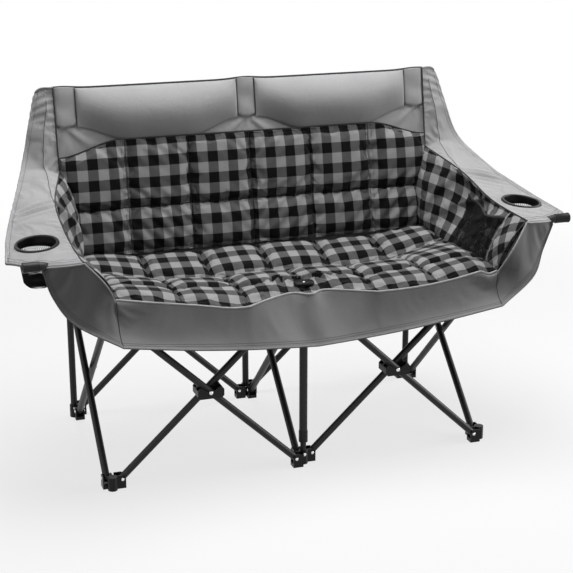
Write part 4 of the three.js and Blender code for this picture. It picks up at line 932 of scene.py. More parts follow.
def makeWingAndArm(side):
    way = sides[side]
    start = wingArmGrid()
    held = heldRim(*start.shape[:2])
    reach = np.hypot(start[..., 0] - shell["cup"][0], start[..., 1] - shell["cup"][1])
    grid = settleCloth(f"shellCloth_{side}", start, held | (reach < wing["cupHeld"]), wing["pressure"] * way,
                       wing["slack"], wing["cap"])
    grid = doubled(grid)
    if way < 0:
        grid = mirrored(grid)
    uv = clothLengths(grid)
    grid, uv = facing(grid, uv, (-way * 0.5, -0.4, 1.0))
    normals = gridNormals(grid)
    split = 2 * wing["cellsDown"]
    cup = shell["cup"] * np.array([way, 1, 1])
    middle = (grid[:-1, :-1] + grid[1:, 1:]) / 2
    hole = np.hypot(middle[..., 0] - cup[0], middle[..., 1] - cup[1]) < wing["cupHole"]
    around = np.hypot(grid[..., 0] - cup[0], grid[..., 1] - cup[1])
    inside, outside = wing["cupAround"]
    near = grid[(around > inside) & (around < outside)]
    level = np.column_stack([near[:, :2] - cup[:2], np.ones(len(near))])
    cupLie[side] = np.linalg.lstsq(level, near[:, 2], rcond=None)[0]
    upper, lower = slice(0, split + 1), slice(split, None)
    post, rest = f"rear_{side}_post", f"arm_rest_{side}"
    behind = grid - normals * wing["cloth"]
    below = grid - normals * wing["armCloth"]
    wingPiece = clothObject(f"wing_cloth_{side}", grid[upper], behind[upper], uv[upper], [shellGrey],
                            normals=normals[upper])
    carry(wingPiece, post, [f"wing_{side}"], "side")
    armPiece = clothObject(f"arm_cloth_{side}", grid[lower], below[lower], uv[lower], [shellGrey],
                           skip=hole[split:], normals=normals[lower])
    carry(armPiece, rest, [f"arm_panel_{side}"], "arm")

    def edge(name, line, body, tape=shellGrey):
        fold = "side" if body == post else "arm"
        sewPiping(f"{name}_{side}", [line], wing["edges"][name], tape, body, fold)

    # edges: rolled hem, stitches and the dark piping over the bolster
    last = grid.shape[1] - 1
    outerEdge = "right" if np.abs(grid[0, last, 0]) > np.abs(grid[0, 0, 0]) else "left"
    outer = grid[:, last if outerEdge == "right" else 0] - normals[:, 0] * wing["hemUnder"]
    inner = grid[:, 0 if outerEdge == "right" else last]
    lifted = grid + normals * hemLift
    line = insideLine(lifted, outerEdge, wing["hem"])
    edge("wing_hem", outer[upper], post)
    edge("arm_hem", outer[lower], rest)
    sewStitches(f"wing_stitch_{side}", [line[upper]], post, "side")
    bands = [insideLine(lifted[lower], "last", distance) for distance in (wing["hem"], wing["band"])]
    sewStitches(f"arm_stitch_{side}", [line[lower], *bands], rest, "arm")
    edge("arm_front_hem", grid[-1] - normals[-1] * wing["frontUnder"], rest)
    low = int(split * shell["wingSide"])
    edge("post_piping", inner[:low] + normals[:low, 0] * wing["postProud"], post, tapeDark)
    edge("bolster_piping", inner[low:split + 1], post, tapeDark)
    edge("arm_piping", inner[lower], rest, tapeDark)
    seam = []
    for v in np.linspace(wing["seamAt"][0][0], 1.0, wing["seamPoints"]):
        row = int(round(v * split))
        share = wingSeamShare(v)
        column = int(round((share if outerEdge == "right" else 1 - share) * last))
        seam.append(grid[row, column] + normals[row, column] * seamLift)
    edge("wing_seam", alongLine(seam, wing["seamPoints"] + 10), post, tapeDark)
    edge("wing_top_tape", grid[0] + np.array(wing["topOff"]), post)
    print("wing and arm sewn:", side)


for side in sides:
    makeWingAndArm(side)


def netFaces(rows, count, closed):
    # diamonds over points whose odd rows are shifted by half a mesh
    faces = []
    for r in range(rows - 1):
        for c in range(count):
            left, right = c + r % 2 - 1, c + r % 2
            if closed:
                left, right = left % count, right % count
            if left < 0 or right >= count:
                continue
            faces.append([r * count + c, (r + 1) * count + right, (r + 2) * count + c, (r + 1) * count + left])
    return faces


def netObject(name, points, faces, thread):
    mesh = bpy.data.meshes.new("net")
    mesh.from_pydata([tuple(p) for p in points], [], faces)
    mesh.materials.append(netBlack)
    net = addObject("net", mesh)
    wire = net.modifiers.new("threads", "WIREFRAME")
    wire.thickness = thread
    wire.use_even_offset = False
    return plainCopy(net, name)


def turnedFlat(flat, degrees):
    turn = math.radians(degrees)
    u, v = flat[..., 0], flat[..., 1]
    return np.stack([u * math.cos(turn) - v * math.sin(turn), u * math.sin(turn) + v * math.cos(turn)], axis=2)


# Bolster: the check lining inside each arm, with a separate band along its front edge
bolster = {
    "cellsUp": 30, "cellsAlong": 84, "bandStart": 0.86, "bulge": 0.006, "pad": 0.014, "lip": 0.003, "footDrop": 0.002,
    "pressure": -0.2, "slack": 0.02, "cap": 0.008, "bandRise": 0.006, "bandCells": 3, "bow": 0.008, "bowRun": 0.12,
    "hollow": 0.040, "hollowAt": 0.48, "hollowRun": 0.20, "checkTilt": -4, "bandTurn": 38,
    "lap": (0.022, 0.030), "lapRun": 0.19, "lapFoot": 0.06, "tuck": (0.008, 0, 0.010), "rearTuck": (-0.006, 0.018, 0),
    "crumple": 0.006, "crumpleRun": 0.026, "crumpleSquash": 0.45,
    "creases": [((0.84, 0.92), (0.42, 0.30)), ((0.85, 0.70), (0.52, 0.12)), ((0.62, 0.98), (0.34, 0.52)),
                ((0.80, 0.45), (0.62, 0.06)), ((0.30, 0.95), (0.12, 0.45))],
    "uneven": 0.0003, "seeds": {"left": 11, "right": 7}, "tapeIn": 0.0012, "bandTape": (0.0007, 0.0007),
    "frontTape": (0.0016, 0.0020),
}


# Net pocket on the inside of one bolster, open at its sagging top edge
sidePocket = {"side": "right", "from": 0.40, "low": 0.05, "high": (0.74, 0.90), "sag": 0.10, "off": 0.004,
              "belly": 0.012, "bellySpan": (0.15, 0.75), "rows": 68, "meshes": 44, "thread": 0.0017, "hemPoints": 30,
              "hem": (0.0016, 0.0046)}


def makeSidePocket(grid, band, way):
    last = grid.shape[1] - 1
    start = sidePocket["from"] * (grid.shape[0] - 1)

    def onBolster(s, t):
        row = lerp(start, band - 1.0, s)
        top = lerp(*sidePocket["high"], s) - sidePocket["sag"] * math.sin(math.pi * s)
        column = lerp(sidePocket["low"], top, t) * last
        r, c = min(int(row), grid.shape[0] - 2), min(int(column), last - 1)
        near = lerp(grid[r, c], grid[r + 1, c], row - r)
        far = lerp(grid[r, c + 1], grid[r + 1, c + 1], row - r)
        belly = math.sin(math.pi * s) * math.sin(math.pi * (bellyFrom + bellyRun * t))
        off = sidePocket["off"] + sidePocket["belly"] * belly
        return lerp(near, far, column - c) - np.array([way * off, 0, 0])

    side = sidePocket["side"]
    post = f"rear_{side}_post"
    bellyFrom, bellyRun = sidePocket["bellySpan"]
    rows, count = sidePocket["rows"], sidePocket["meshes"]
    points = [onBolster((c + 0.5 * (r % 2)) / (count - 0.5), r / rows) for r in range(rows + 1) for c in range(count)]
    net = netObject(f"side_pocket_{side}", points, netFaces(rows, count, False), sidePocket["thread"])
    carry(net, post, fold="side")
    hem = np.array([onBolster(s, 1.0) for s in np.linspace(0, 1, sidePocket["hemPoints"])])
    sewPiping(f"side_pocket_hem_{side}", [hem], sidePocket["hem"], tapeDark, post, "side")


def makeBolster(side):
    way = sides[side]
    v = np.linspace(0, 1, bolster["cellsAlong"] + 1)
    u = np.linspace(0, 1, bolster["cellsUp"] + 1)
    y = lerp(panelFront(back["bottom"]) - shell["proud"], seat["front"], v)
    x = seat["half"] + bolster["lip"] + 0 * v
    foot = np.stack([x, y, seatSeam(way * seat["half"] + 0 * y, y) - bolster["footDrop"]], axis=1)
    start = lerp(foot[:, None], throughPoints(pipingLine, v)[:, None], u[None, :, None])
    swell = np.sin(np.pi * u)[None] * np.sqrt(np.sin(np.pi * v))[:, None]
    start[..., 0] -= bolster["bulge"] * swell
    # its rear edge laps onto the back's quilt
    lapShare = np.clip(u * (1 - bolster["lapFoot"]) + bolster["lapFoot"], 0, 1)
    lap = bump(v, bolster["lapRun"])[:, None] * np.sqrt(np.sin(np.pi * lapShare))[None]
    start[..., 0] -= bolster["lap"][0] * lap
    start[..., 1] -= bolster["lap"][1] * lap
    # it hollows towards the front, and the band stands proud of it
    hollow = bump(v - bolster["hollowAt"], bolster["hollowRun"])[:, None] * (np.sin(np.pi * u**1.2) ** 0.7)[None]
    start[..., 0] += bolster["hollow"] * hollow
    for (v0, u0), (v1, u1) in bolster["creases"]:
        along = np.array([v1 - v0, u1 - u0])
        run = (v[:, None] - v0) * along[0] + (u[None] - u0) * along[1]
        share = np.clip(run / (along @ along), 0, 1)
        offU = (u[None] - u0 - share * along[1]) * bolster["crumpleSquash"]
        off = np.hypot(v[:, None] - v0 - share * along[0], offU)
        crest = np.sin(np.pi * (0.15 + 0.7 * share))
        start[..., 0] -= bolster["crumple"] * bump(off, bolster["crumpleRun"]) * crest
    start[..., 0] -= bolster["bow"] * bump(v - 1, bolster["bowRun"])[:, None] * np.sin(np.pi * u)[None]
    held = heldRim(*start.shape[:2])
    band = int(round(bolster["bandStart"] * bolster["cellsAlong"]))
    held[band] = True
    start[band - bolster["bandCells"]:, :, 0] -= bolster["bandRise"] * np.sin(np.pi * u)
    start = unevened(start, held, bolster["seeds"][side], bolster["uneven"])
    grid = settleCloth(f"bolsterCloth_{side}", start, held, bolster["pressure"], bolster["slack"], bolster["cap"])
    # its lower edge is tucked in below the seat's side, and its rear edge behind the back's quilt
    start, grid = (np.concatenate([cloth[:, :1] - bolster["tuck"], cloth], axis=1) for cloth in (start, grid))
    start, grid = (np.concatenate([cloth[:1] + bolster["rearTuck"], cloth]) for cloth in (start, grid))
    grid = doubled(grid)
    band = 2 * (band + 1)
    fine = np.linspace(0, 1, grid.shape[1])
    outward = np.zeros_like(grid)
    outward[..., 0] = lerp(bolster["pad"], bolster["lip"], fine)
    rear = grid + outward
    lengths = clothLengths(doubled(start))
    fromTop = lengths[:1, -1:, 0] - lengths[..., 0]
    middle = lengths.shape[1] // 2
    along = lengths[:, middle:middle + 1, 1] + 0 * fromTop
    uv = turnedFlat(np.stack([along, fromTop], axis=2), bolster["checkTilt"])
    # the band is cut on its own direction
    turned = turnedFlat(uv[band:] - uv[band:band + 1, -1:], bolster["bandTurn"])
    if way < 0:
        grid, rear = mirrored(grid), mirrored(rear)
    post = f"rear_{side}_post"
    cuts = {"bolster_quilt": (slice(0, band + 1), uv[:band + 1]), "bolster_band": (slice(band, None), turned)}
    toward = (-way, -0.3, 0.4)
    for name, (rows, flat) in cuts.items():
        face, flatFace = facing(grid[rows], flat, toward)
        behind = facing(grid[rows], rear[rows], toward)[1]
        piece = clothObject(f"{name}_{side}", face, behind, flatFace, [checkPlaid, shellGrey], sharp=60)
        carry(piece, post, [f"bolster_{side}"] if name == "bolster_quilt" else (), "side")
    inner = np.array([-way * bolster["tapeIn"], 0, 0])
    # the thin pale tape along the band's edge is a painted highlight on that edge
    tapes = {"band_tape": (grid[band], bolster["bandTape"], tapePale),
             # the dark tape on the bolster's front edge is painted shade for the shadowed gap before the apron
             "bolster_front_tape": (grid[-1], bolster["frontTape"], tapeDark)}
    for name, (line, size, tape) in tapes.items():
        sewPiping(f"{name}_{side}", [line + inner], size, tape, post, "side")
    if side == sidePocket["side"]:
        makeSidePocket(grid, band, way)
    print("bolster sewn:", side)
    return grid[-1]


bolsterFronts = {side: makeBolster(side) for side in sides}


# Apron: hangs from the seat's front edge and is drawn up to both arms
apron = {
    "cloth": 0.0024, "gap": 0.0038, "cellsMiddle": 84, "cellsSide": 26, "cellsDown": 26, "bulge": -0.022,
    "hemCorner": (-0.006, -0.053, -0.031), "hemMiddle": (-0.033, -0.091), "hemDip": 0.008, "armShare": 0.5,
    "fold": 0.004, "foldPitch": 0.120, "foldRun": 0.150, "ridge": 0.010, "ridgeRun": 0.330, "ridgeWidth": 0.26,
    "pleat": 0.0035, "pleatPitch": 0.55, "pleatFrom": 0.3, "standOff": 0.022, "bow": 0.010, "seatDrop": 0.003,
    "footDrop": 0.005, "armDrop": 0.004, "pressure": 0.1, "slack": 0.004, "gravity": 0.3, "cap": 0.005, "ease": 5,
    "uneven": 0.00005, "seed": 3, "hem": 0.010, "secondHem": 0.006, "hemEdge": (0.0022, 0.0026),
    "topTape": (0.0017, 0.0022), "seam": (0.0009, 0.0009),
}
hemKink = np.array([seat["half"] + apron["hemCorner"][0], seat["front"] + apron["hemCorner"][1],
                    hubPivot + apron["hemCorner"][2]])
hemMiddle = np.array([0.0, seat["front"] + apron["hemMiddle"][0], hubPivot + apron["hemMiddle"][1]])
hemLine = [hemKink] + [fromHub(*p) for p in shell["hemSide"]]


def seatEdgePoint(x):
    y = seatFrontEdge(x)
    return np.array([x, y, seatSeam(x, y) - seat["edgeRoll"] - knobHollow(x, y)])


def armFrontPoint(u):
    point = lerp(shellEdge(1.0), armLine[-1], u)
    point[1] -= shell["frontBow"] * math.sin(math.pi * u)
    return point


def apronTopPoint(v, way):
    # on the right side; its height at the seat is that of the side it is made for
    forward = np.array([0, -apron["gap"], 0])
    if v <= 1:
        point = seatEdgePoint(way * seat["half"] * v) * np.array([way, 1, 1])
        return point + forward - np.array([0, 0, apron["seatDrop"]])
    corner = seatSeam(way * seat["half"], seat["front"])
    foot = np.array([seat["half"] + bolster["lip"], seat["front"], corner - apron["footDrop"]])
    if v <= 2:
        away = math.sin(math.pi * (v - 1))
        stand = np.array([-apron["bow"] * away, -apron["standOff"] * away, 0])
        return lerp(foot, throughPoints(pipingLine, 1.0), v - 1) + forward + stand
    return armFrontPoint((v - 2) * apron["armShare"]) + forward - np.array([0, 0, apron["armDrop"]])


def apronHemPoint(v):
    if v <= 1:
        return lerp(hemMiddle, hemKink, v) - np.array([0, 0, apron["hemDip"] * math.sin(math.pi * v)])
    return throughPoints(hemLine, (v - 1) / 2)


def apronFold(x, u):
    waves = apron["fold"] * np.cos(2 * np.pi * x / apron["foldPitch"]) * bump(x, apron["foldRun"])
    ridgeAt = (seat["half"] - x) / apron["ridgeRun"]
    ridge = apron["ridge"] * bump(u - ridgeAt, apron["ridgeWidth"]) * (x < seat["half"])
    return np.sin(np.pi * u) * waves + np.sin(np.pi * np.sqrt(u)) * ridge


def makeApron():
    u = np.linspace(1, 0, apron["cellsDown"] + 1)  # from the hem up
    half = np.concatenate([np.linspace(0, 1, apron["cellsMiddle"] + 1),
                           np.linspace(1, 3, 2 * apron["cellsSide"] + 1)[1:]])
    hem = np.array([apronHemPoint(v) for v in half])
    sweep = apron["bulge"] * np.sin(np.pi * np.minimum(half, 2) / 2) ** 2
    pleats = np.cos(2 * np.pi * (half - 1) / apron["pleatPitch"]) * smoothStep((half - 1) / apron["pleatFrom"])
    depth = np.sin(np.pi * u)[:, None] * (sweep + apron["pleat"] * pleats)[None]
    wings = {}
    for way in (-1, 1):
        top = np.array([apronTopPoint(v, way) for v in half])
        wings[way] = lerp(top[None], hem[None], u[:, None, None])
        wings[way][..., 1] -= depth + apronFold(wings[way][..., 0], u[:, None])
    start = np.concatenate([mirrored(wings[-1])[:, :0:-1], wings[1]], axis=1)
    held = heldRim(*start.shape[:2])
    start = unevened(start, held, apron["seed"], apron["uneven"])
    face = settleCloth("apronCloth", start, held, apron["pressure"], apron["slack"], apron["cap"], apron["gravity"])
    for _ in range(apron["ease"]):  # stiff cloth has no small lumps
        around = face[:-2, 1:-1] + face[2:, 1:-1] + face[1:-1, :-2] + face[1:-1, 2:]
        face[1:-1, 1:-1] = 0.5 * face[1:-1, 1:-1] + 0.125 * around
    face = doubled(face)
    uv = clothLengths(face)
    uv[..., 0] -= uv[..., face.shape[1] // 2, 0][:, None]
    normals = gridNormals(face)
    # the apron's darker cloth is painted shade on the same cloth as the shell
    piece = clothObject("apron_cloth", face, face - normals * apron["cloth"], uv, [apronGrey], normals=normals)
    body, slot = "hub_front_center", "apron_cloth"
    carry(piece, body, ["front_apron"], "across")
    lifted = face + normals * seamLift
    hems = (apron["hem"], apron["hem"] + apron["secondHem"])
    lines = [insideLine(lifted, "first", distance) for distance in hems]
    lines += [insideLine(lifted, edge, apron["hem"]) for edge in ("left", "right")]
    sewStitches("apron_stitch", lines, body, "across")
    sewPiping("apron_hem", [face[0], face[:, 0], face[:, -1]], apron["hemEdge"], apronGrey, body, "across")
    corner = 4 * apron["cellsSide"]
    tops = [face[-1, :corner + 1], face[-1, -corner - 1:]]
    sewPiping("apron_top_tape", tops, apron["topTape"], tapePale, body, "across")
    seams = [lifted[:, corner], lifted[:, -corner - 1]]
    sewPiping("apron_seams", seams, apron["seam"], tapeDark, body, "across")
    print("apron sewn:", face.shape)
    turn = corner // 2
    return {"left": face[-1, corner:turn - 1:-1], "right": face[-1, -corner - 1:-turn]}


apronEdges = makeApron()


# Gusset: a dark fold of cloth that closes the gap between each bolster and the apron; its black cloth is painted
# shade, standing in for the shadow inside the gap
shadeGusset = {"deep": 0.034, "wide": 0.4, "cloth": 0.002, "rows": 60, "across": 14}


def makeShadeGusset(side):
    way = sides[side]
    s = np.linspace(0, 1, shadeGusset["across"] + 1)[None, :, None]
    near = alongLine(bolsterFronts[side], shadeGusset["rows"])[:, None]
    far = alongLine(apronEdges[side], shadeGusset["rows"])[:, None]
    grid = lerp(near, far, s)
    fold = shadeGusset["deep"] * np.sin(np.pi * s[..., 0])
    grid[..., 1] += fold
    grid[..., 0] += way * shadeGusset["wide"] * fold
    grid, flat = facing(grid, clothLengths(grid), (0, -1, 0))
    # the black lining here is painted shade: the gap looks black from shadow, not from its cloth
    piece = clothObject(f"gusset_{side}", grid, grid - gridNormals(grid) * shadeGusset["cloth"], flat, [liningBlack])
    carry(piece, "hub_front_center", fold="across")


for side in sides:
    makeShadeGusset(side)


# Headrests: two stuffed pillows between the post sleeves
pillow = {
    "gap": 0.0265, "outerGap": 0.0385, "seam": -0.004, "corner": 0.044, "cornerRun": 0.150, "base": 0.004,
    "crown": 0.041, "crownHigh": 1.25, "crownRound": (0.45, 0.75), "topGap": 0.0006, "rearGap": 0.0004,
    "cellsAcross": 84, "cellsUp": 30, "pressure": 0.8, "slack": 0.0, "cap": 0.004, "uneven": 0.00005,
    "seeds": {"left": 23, "right": 17}, "piping": (0.0010, 0.0010), "pipingOff": (0, -0.001, 0),
}


def makePillow(side):
    way = sides[side]
    u = np.linspace(0, 1, pillow["cellsAcross"] + 1)
    v = np.linspace(0, 1, pillow["cellsUp"] + 1)[:, None]
    x = lerp(pillow["gap"], bay - pillow["outerGap"], u)
    fromEnd = np.minimum(x - x[0], x[-1] - x)
    low = back["top"] + pillow["seam"] + pillow["corner"] * (1 - smoothStep(fromEnd / pillow["cornerRun"]))
    z = lerp(low, topEdge(x) - pillow["topGap"], v)
    x = np.broadcast_to(x, z.shape)
    roundX, roundZ = pillow["crownRound"]
    crown = np.sin(np.pi * u) ** roundX * np.sin(np.pi * v ** pillow["crownHigh"]) ** roundZ
    y = panelFront(z) - pillow["base"] - pillow["crown"] * crown
    start = np.stack([x, y, z], axis=2)
    held = heldRim(*start.shape[:2])
    start = unevened(start, held, pillow["seeds"][side], pillow["uneven"])
    face = settleCloth(f"pillowCloth_{side}", start, held, pillow["pressure"], pillow["slack"], pillow["cap"])
    face = doubled(face)
    rear = face.copy()
    rear[..., 1] = panelFront(face[..., 2]) - pillow["rearGap"]
    if way < 0:
        face, rear = mirrored(face), mirrored(rear)
    uv = clothLengths(face)
    front, flat = facing(face, uv, (0, -1, 0))
    behind = facing(face, rear, (0, -1, 0))[1]
    piece = clothObject(f"headrest_pillow_{side}", front, behind, flat, [shellGrey], sharp=60)
    carry(piece, "rear_center_post", [f"headrest_{side}"], "across")
    seams = [edge + np.array(pillow["pipingOff"]) for edge in (face[:, 0], face[:, -1])]
    sewPiping(f"headrest_seam_{side}", seams, pillow["piping"], tapeDark, "rear_center_post", "across")


for side in sides:
    makePillow(side)
print("headrests stuffed")


# Back panel: the cloth that carries the back
panel = {
    "cellsAcross": 120, "cellsUp": 60, "cloth": 0.0045, "lap": 0.004, "footRise": 0.0046, "slack": 0.0005,
    "pucker": 0.005, "puckerFolds": 9, "puckerAt": (0.05, -0.12), "puckerRun": (0.05, 0.04), "tape": (0.0020, 0.0028),
    "tapeOff": (0, 0.001, 0.0015), "stitchOff": (0, -0.0052, -0.010),
}


def makePanel():
    body = "rear_center_post"
    reach = back["half"] + panel["lap"]
    x = np.linspace(-reach, reach, panel["cellsAcross"] + 1)
    z = lerp(hubFace + panel["footRise"], topEdge(x), np.linspace(0, 1, panel["cellsUp"] + 1)[:, None])
    x = np.broadcast_to(x, z.shape)
    # small folds fan out from the lower corners of the pillows
    nearest = fromNearestPost(x)
    fan = np.arctan2(z - (postTop - sleeve["drop"]), nearest + sleeve["lip"])
    besidePost, belowTop = panel["puckerAt"]
    runX, runZ = panel["puckerRun"]
    spot = bump(nearest - besidePost, runX) * bump(z - postTop - belowTop, runZ)
    y = panelFront(z) - panel["pucker"] * np.cos(panel["puckerFolds"] * fan) * spot
    face = doubled(np.stack([x, np.minimum(y, panelFront(z) + panel["slack"]), z], axis=2))
    uv = face[..., [0, 2]]
    rear = face.copy()
    rear[..., 1] = panelFront(face[..., 2]) + panel["cloth"]
    piece = clothObject("back_cloth", face, rear, uv, [shellGrey], sharp=40)
    carry(piece, body, ["back_panel"], "across")
    # the dark tape along the top edge is partly the real binding and partly painted shade of the crumpled hem
    tape = face[-1] + np.array(panel["tapeOff"])
    sewPiping("back_top_tape", [tape], panel["tape"], tapeDark, body, "across")
    line = face[-1] + np.array(panel["stitchOff"])
    sewStitches("back_top_stitch", [line], body, "across")
    print("back panel hung")


# Sleeve: a strip in front of each post's top, and behind it a pocket round the post, closed at the top
sleeve = {
    "half": 0.026, "outerIn": 0.0385, "outerOut": 0.0195, "drop": 0.091, "dropRound": 0.006, "swell": 0.007,
    "crease": 0.0015, "creases": 3, "cells": (20, 24), "off": 0.0012, "rearOff": 0.0006, "topRise": 0.0008,
    "stitch": 0.003, "pocketRound": 0.0135, "pocketDrop": 0.115, "pocketRise": 0.0042, "pocketCloth": 0.002,
    "pocketCells": (18, 25), "lip": 0.004, "lap": 0.001,
    "dome": ((0.8, 0.0012), (0.45, 0.002), (0.05, 0.0024)),
}


def makeSleeve(column):
    x0 = columnX[column]
    body = f"rear_{column}_post"
    across, along = sleeve["cells"]
    s = np.linspace(-1, 1, across + 1)
    t = np.linspace(0, 1, along + 1)[:, None]
    low = postTop - sleeve["drop"] - sleeve["dropRound"] * (1 - s**2)
    # the outer sleeves reach further towards the middle of the back
    way = np.sign(x0)
    halves = np.where(way * s < 0, sleeve["outerIn"], sleeve["outerOut"]) if way else sleeve["half"]
    x = x0 + halves * s
    z = lerp(low, topEdge(x) + sleeve["topRise"], t)
    x = np.broadcast_to(x, z.shape)
    y = panelFront(z) - sleeve["off"] - sleeve["swell"] * (1 - s**2) ** 0.5
    y = y - sleeve["crease"] * np.sin(np.pi * sleeve["creases"] * t) * (1 - s**2)
    face = doubled(np.stack([x, y, z], axis=2))
    rear = face.copy()
    rear[..., 1] = panelFront(face[..., 2]) - sleeve["rearOff"]
    piece = clothObject(f"post_sleeve_{column}", face, rear, clothLengths(face), [shellGrey], sharp=50)
    carry(piece, body)
    lifted = face + gridNormals(face) * hemLift
    lines = [insideLine(lifted, edge, sleeve["stitch"]) for edge in ("left", "right", "first")]
    sewStitches(f"sleeve_stitch_{column}", lines, body)
    around, levels = sleeve["pocketCells"]
    turn = np.linspace(-math.pi / 2, math.pi / 2, around + 1)
    radius = sleeve["pocketRound"]
    high = postTop + sleeve["pocketRise"]
    rings = []
    for level in np.linspace(postTop - sleeve["pocketDrop"], high, levels + 1):
        near = panelFront(min(level, back["panelTop"])) + sleeve["lap"]
        wide = np.concatenate([[-radius - sleeve["lip"]], radius * np.sin(turn), [radius + sleeve["lip"]]])
        deep = np.concatenate([[near], rearY + radius * np.cos(turn), [near]])
        rings.append(np.stack([x0 + wide, deep, 0 * wide + level], axis=1))
    last = rings[-1]
    for share, lift in sleeve["dome"]:
        ring = lerp(last.mean(axis=0), last, share)
        ring[:, 2] = high + lift
        rings.append(ring)
    outside = np.array(rings)
    outside, flat = facing(outside, clothLengths(outside), (0, 1, 0.1))
    inside = outside - gridNormals(outside) * sleeve["pocketCloth"]
    pocket = clothObject(f"post_pocket_{column}", outside, inside, flat, [shellGrey], sharp=50)
    carry(pocket, body)


makePanel()
for column in columnX:
    makeSleeve(column)
print("sleeves on the posts")


# Steel tubes, drawn round about the axes of the frame's tubes
tube = {"wall": 0.0012, "end": 0.0005, "sides": 28}


def hardObject(name, points, faces, material, sharp):
    # a closed piece with smooth faces, turned outwards
    mesh = bpy.data.meshes.new(name)
    mesh.from_pydata([tuple(p) for p in points], [], faces)
    mesh.materials.append(material)
    mesh.polygons.foreach_set("use_smooth", np.ones(len(mesh.polygons), bool))
    mesh.update()
    work = bmesh.new()
    work.from_mesh(mesh)
    bmesh.ops.remove_doubles(work, verts=work.verts, dist=1e-6)
    bmesh.ops.recalc_face_normals(work, faces=work.faces)
    work.to_mesh(mesh)
    work.free()
    mesh.set_sharp_from_angle(angle=math.radians(sharp))
    return addObject(name, mesh)


def latheObject(name, profile, start, way, sides, material, sharp=32):
    # turns (radius, height) points about the axis that starts at a point
    way = Vector(way).normalized()
    side = way.orthogonal().normalized()
    other = way.cross(side)
    base = np.array(start)
    turns = np.linspace(0, 2 * np.pi, sides, endpoint=False)
    points, rings = [], []
    for radius, height in profile:
        if radius < 1e-6:
            rings.append([len(points)] * sides)
            points.append(base + np.array(way) * height)
            continue
        rings.append(list(range(len(points), len(points) + sides)))
        for turn in turns:
            arm = np.array(side) * math.cos(turn) + np.array(other) * math.sin(turn)
            points.append(base + np.array(way) * height + arm * radius)
    faces = []
    for low, high in zip(rings, rings[1:]):
        for k in range(sides):
            n = (k + 1) % sides
            faces.append(list(dict.fromkeys([low[k], low[n], high[n], high[k]])))
    return hardObject(name, points, [face for face in faces if len(face) > 2], material, sharp)


def roundTube(name, radius, start, way, length):
    soft = tube["end"]
    bore = radius - tube["wall"]
    profile = [(bore, 0), (radius - soft, 0), (radius, soft), (radius, length - soft), (radius - soft, length),
               (bore, length), (bore, 0)]
    return latheObject(f"round_{name}", profile, start, way, tube["sides"], coatBlack)


def scissorEnds(node):
    # both ends of a scissor tube, from its box and the way that it leans
    low, high = (np.array(v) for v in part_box(node))
    size = high - low
    middle = (low + high) / 2
    flat = 1 if "side" in node else 0
    run, rise = size[flat], size[2]
    for _ in range(12):
        tilt = math.atan2(rise, run)
        run = size[flat] - 2 * tubeRadius * math.sin(tilt)
        rise = size[2] - 2 * tubeRadius * math.cos(tilt)
    if node.endswith("rear_foot"):
        column = columnX[node.split("_")[2]]
        middle[0] = 2 * column - centreOf(node.replace("rear_foot", "front_foot")).x
    leans = -1 if node.endswith(("falling", "rear_foot")) else 1
    half = np.array([0.0, 0.0, rise / 2])
    half[flat] = leans * run / 2
    return middle - half, middle + half


def makeTubes():
    scissors = [node for node in frame["nodes"] if node.startswith("tube_")]
    for node in scissors:
        start, end = scissorEnds(node)
        piece = roundTube(node, tubeRadius, start, end - start, float(np.linalg.norm(end - start)))
        carry(piece, node, [node])
    uprights = {f"back_post_{column}": f"rear_{column}_post" for column in columnX}
    uprights |= {"front_post_inner": "foot_front_center", "front_post_outer": "hub_front_center"}
    for node, body in uprights.items():
        low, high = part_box(node)
        middle = (low + high) / 2
        piece = roundTube(node, (high.x - low.x) / 2, (middle.x, middle.y, low.z), (0, 0, 1), high.z - low.z)
        carry(piece, body, [node])
    print("tubes drawn:", len(scissors), "+", len(uprights))


makeTubes()

# Arm tubes: bent from the corner hubs out to the caps
arm = {
    "pivot": (0.024, -0.003, 0.010), "end": (0.180, -0.0625, 0.173), "radius": 0.011, "straight": 0.070,
    "over": 0.009, "grip": 0.014, "capLength": 0.030, "capOver": 0.012, "capRadius": 0.0128, "capSoft": 0.001,
}
# the cap from its closed end to the rolled rim and the hollow behind it: what is added to its radius and length
capRim = [(0, -0.006), (0.0006, -0.005), (0.0006, -0.0015), (-0.0004, 0), (-0.0028, 0), (-0.0035, -0.001),
          (-0.0036, -0.018)]


def armPath(way):
    pivot = fromHub(*arm["pivot"])
    end = fromHub(*arm["end"])
    lean = np.array([end[0] - pivot[0], 0, end[2] - pivot[2]])
    lean /= np.linalg.norm(lean)
    bend = pivot + lean * arm["straight"]
    last = end - np.array([arm["grip"], 0, 0])
    lead = bend + lean * arm["straight"]
    turn = last - np.array([arm["straight"] / 2, 0, 0])
    t = np.linspace(0, 1, 25)[:, None]
    curve = bend * (1 - t)**3 + lead * 3 * t * (1 - t)**2 + turn * 3 * t**2 * (1 - t) + last * t**3
    line = np.concatenate([[pivot - lean * arm["over"]], curve, [end]])
    return line * np.array([way, 1, 1])


def makeArmTubes():
    for side, way in sides.items():
        path = armPath(way)
        size = (arm["radius"], arm["radius"])
        bent = piping(f"arm_bend_{side}", [path], size, coatBlack, ring=24)
        carry(bent, f"arm_{side}", [f"arm_tube_{side}"])
        start = path[-1] - np.array([way * arm["capOver"], 0, 0])
        radius, length = arm["capRadius"], arm["capLength"] + arm["capOver"]
        rim = [(radius + out, length + along) for out, along in capRim]
        profile = [(0, 0), (radius - arm["capSoft"], 0), (radius, arm["capSoft"]), *rim, (0, rim[-1][1])]
        cap = latheObject(f"arm_end_{side}", profile, start, (way, 0, 0), 32, plasticBlack)
        carry(cap, f"arm_{side}", [f"arm_cap_{side}"])
    print("arm tubes bent")


makeArmTubes()

